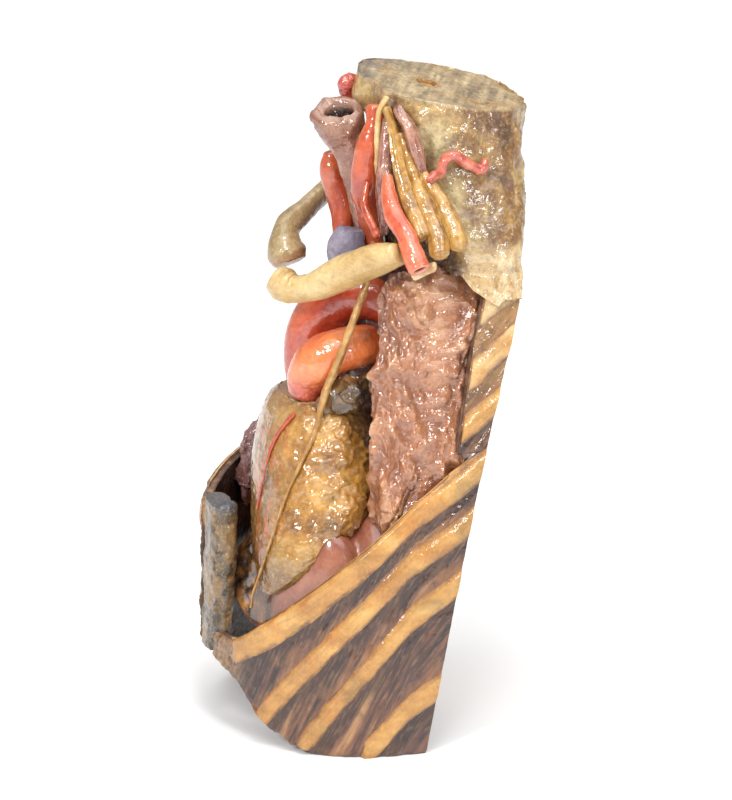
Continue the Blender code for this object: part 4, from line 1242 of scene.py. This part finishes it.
def build_auricle():
    """The left auricle: a short fat tube, deeply lobed."""
    route = ((50, -42, 220, 5), (53, -34, 223, 9.5), (54, -25, 227, 11.5), (53, -17, 231, 7))
    grid, _ = tube_rings(route, 110, 110, 1.0, (0.6, 0.6))
    lobes = creases(grid, 8.5, 2, 721)
    grid = raised(grid, 1.9 * cloud(grid, 10, 2, 722) + 2.0 * (lobes - 0.4))
    paint = wash(0.5 - 0.2 * lobes + 0.7 * cloud(grid, 9, 3, 723), "2b1e14", "654a2c", "947448", "bb9c6a")
    ring_piece("left_auricle", grid, paint, "auricle_brown")


# Each row: height on the heart, angle round it, distance off it, radius.
HEART_ARTERY = (
    (213, -46, 1.8, 1.4), (203, -58, 1.6, 1.6), (190, -66, 1.4, 1.3), (172, -71, 1.4, 1.1), (150, -80, 1.6, 0.8)
)
HEART_NERVE = (
    (206, -18, 2.2, 3.0), (186, -31, 1.8, 2.0), (165, -43, 2.0, 1.4), (140, -54, 2.0, 1.2), (115, -68, 2.2, 1.2)
)


def build_heart_lines():
    """The coronary artery in its groove and the phrenic nerve, broad above and a thread below."""
    artery, over_heart = (
        [(*heart_skin(z, angle, off), r) for z, angle, off, r in rows] for rows in (HEART_ARTERY, HEART_NERVE)
    )
    tube_piece("left_coronary_artery", "artery_red", ("9c3a22", "c85434", "dd7c4c"), artery, 0.7, 0.8, 120, 16)
    nerve = [(57, -14, 300, 3.4), (60, -24, 276, 4.2), (60, -34, 250, 4.4), (57, -42, 228, 4.0)]
    nerve += [*over_heart, (52, -88, 100, 1.6), (50, -89, 90, 1.8)]
    tones = ("8d6432", "b08248", "c99c5e", "dcb57c")
    tube_piece("left_phrenic_nerve", "nerve_yellow", tones, nerve, 0.7, 0.6, 220, 24)


def build_breastbone():
    """The breastbone: a flat superellipse section up a gentle bow, pitted at the sides."""
    rings = shut(oval_rings(smooth_path(BREASTBONE, 130), 110, 3.2), 8)
    inside = step(-104, -100, rings[..., 1]) * step(4, 12, rings[..., 0])
    rings = raised(rings, 1.6 * cloud(rings, 12, 3, 801) + 0.8 * cloud(rings, 4, 2, 802) + 2.5 * inside)
    x, y, z = np.moveaxis(rings, -1, 0)
    pits = step(-0.1, 0.35, cloud(rings, 6, 3, 807))
    paint = coats(
        wash(0.42 + 0.6 * cloud(rings, 12, 3, 803), "3b2e21", "655239", "917550", "bd985f"),
        ("5f6b78", 0.5 * step(0.15, 0.6, cloud(rings, 9, 3, 805))),
        ("4d5a6a", 0.7 * step(140, 148, z)),
        ("241c16", 0.85 * pits * step(6, 12, x) * step(142, 134, z)),
        *(
            ("d98a2b", 0.9 * step(0.3, 0.8, spot(rings, (17, -96, height), (5, 4, 4.5))))
            for height in (72, 100, 128)
        ),
    )
    ring_piece("breastbone", rings, paint, "bone")


# --- Studio --------------------------------------------------------------------------------------------------------


def in_scene(name, data, place=(0, 0, 0), turned=(0, 0, 0)):
    """An object made from its data and linked into the scene."""
    thing = bpy.data.objects.new(name, data)
    thing.location, thing.rotation_euler = place, turned
    bpy.context.scene.collection.objects.link(thing)
    return thing


def area_light(name, place, size, power):
    """A square soft light aimed at the middle of the model."""
    data = bpy.data.lights.new(name, "AREA")
    data.size, data.energy = size, power
    aim = Vector((0, 0, 0.22)) - Vector(place)
    in_scene(name, data, place, aim.to_track_quat("-Z", "Y").to_euler())


def build_studio(size=20.0):
    """A wide white floor, white surroundings, a broad overhead light and three soft ones."""
    mesh = bpy.data.meshes.new("studio_floor")
    mesh.from_pydata([(-size, -size, 0), (size, -size, 0), (size, size, 0), (-size, size, 0)], [], [(0, 1, 2, 3)])
    white = bpy.data.materials.new("white_floor")
    white.use_nodes = True
    shader = white.node_tree.nodes["Principled BSDF"]
    shader.inputs["Base Color"].default_value = (0.9, 0.9, 0.9, 1)
    shader.inputs["Roughness"].default_value = 0.9
    mesh.materials.append(white)
    floor = in_scene("studio_floor", mesh)
    world = bpy.data.worlds.new("white_studio")
    world.use_nodes = True
    background = world.node_tree.nodes["Background"]
    background.inputs["Color"].default_value = (1, 1, 1, 1)
    background.inputs["Strength"].default_value = 0.36
    bpy.context.scene.world = world
    overhead = bpy.data.lights.new("overhead", "SUN")
    overhead.energy, overhead.angle = 2.7, math.radians(80)
    in_scene("overhead", overhead, turned=(math.radians(-8), math.radians(8), 0))
    area_light("key", (1.0, -1.15, 1.15), 0.34, 16)
    area_light("side", (1.75, 0.45, 0.75), 0.26, 7.5)
    area_light("upper", (0.75, -0.15, 1.75), 0.3, 6)
    bpy.context.scene.view_settings.view_transform = "Standard"


def build_camera(azimuth=75.0, elevation=15.0, distance=1.9):
    """The camera: on a sphere round a point near the middle of the model."""
    a, e = math.radians(azimuth), math.radians(elevation)
    out = Vector((math.sin(a) * math.cos(e), -math.cos(a) * math.cos(e), math.sin(e)))
    data = bpy.data.cameras.new("camera")
    data.lens, data.sensor_width = 131.5, 36.0
    middle = Vector((0, FRAME_Y * MM, 0.207))
    bpy.context.scene.camera = in_scene(
        "camera", data, middle + out * distance, (-out).to_track_quat("-Z", "Y").to_euler()
    )


build_wall()
build_heart()
build_lungs()
build_diaphragm()
build_backbone()
build_neck()
build_tubes()
build_airway()
build_vein_stump()
build_auricle()
build_heart_lines()
build_breastbone()
build_studio()
build_camera()
bpy.context.view_layer.update()
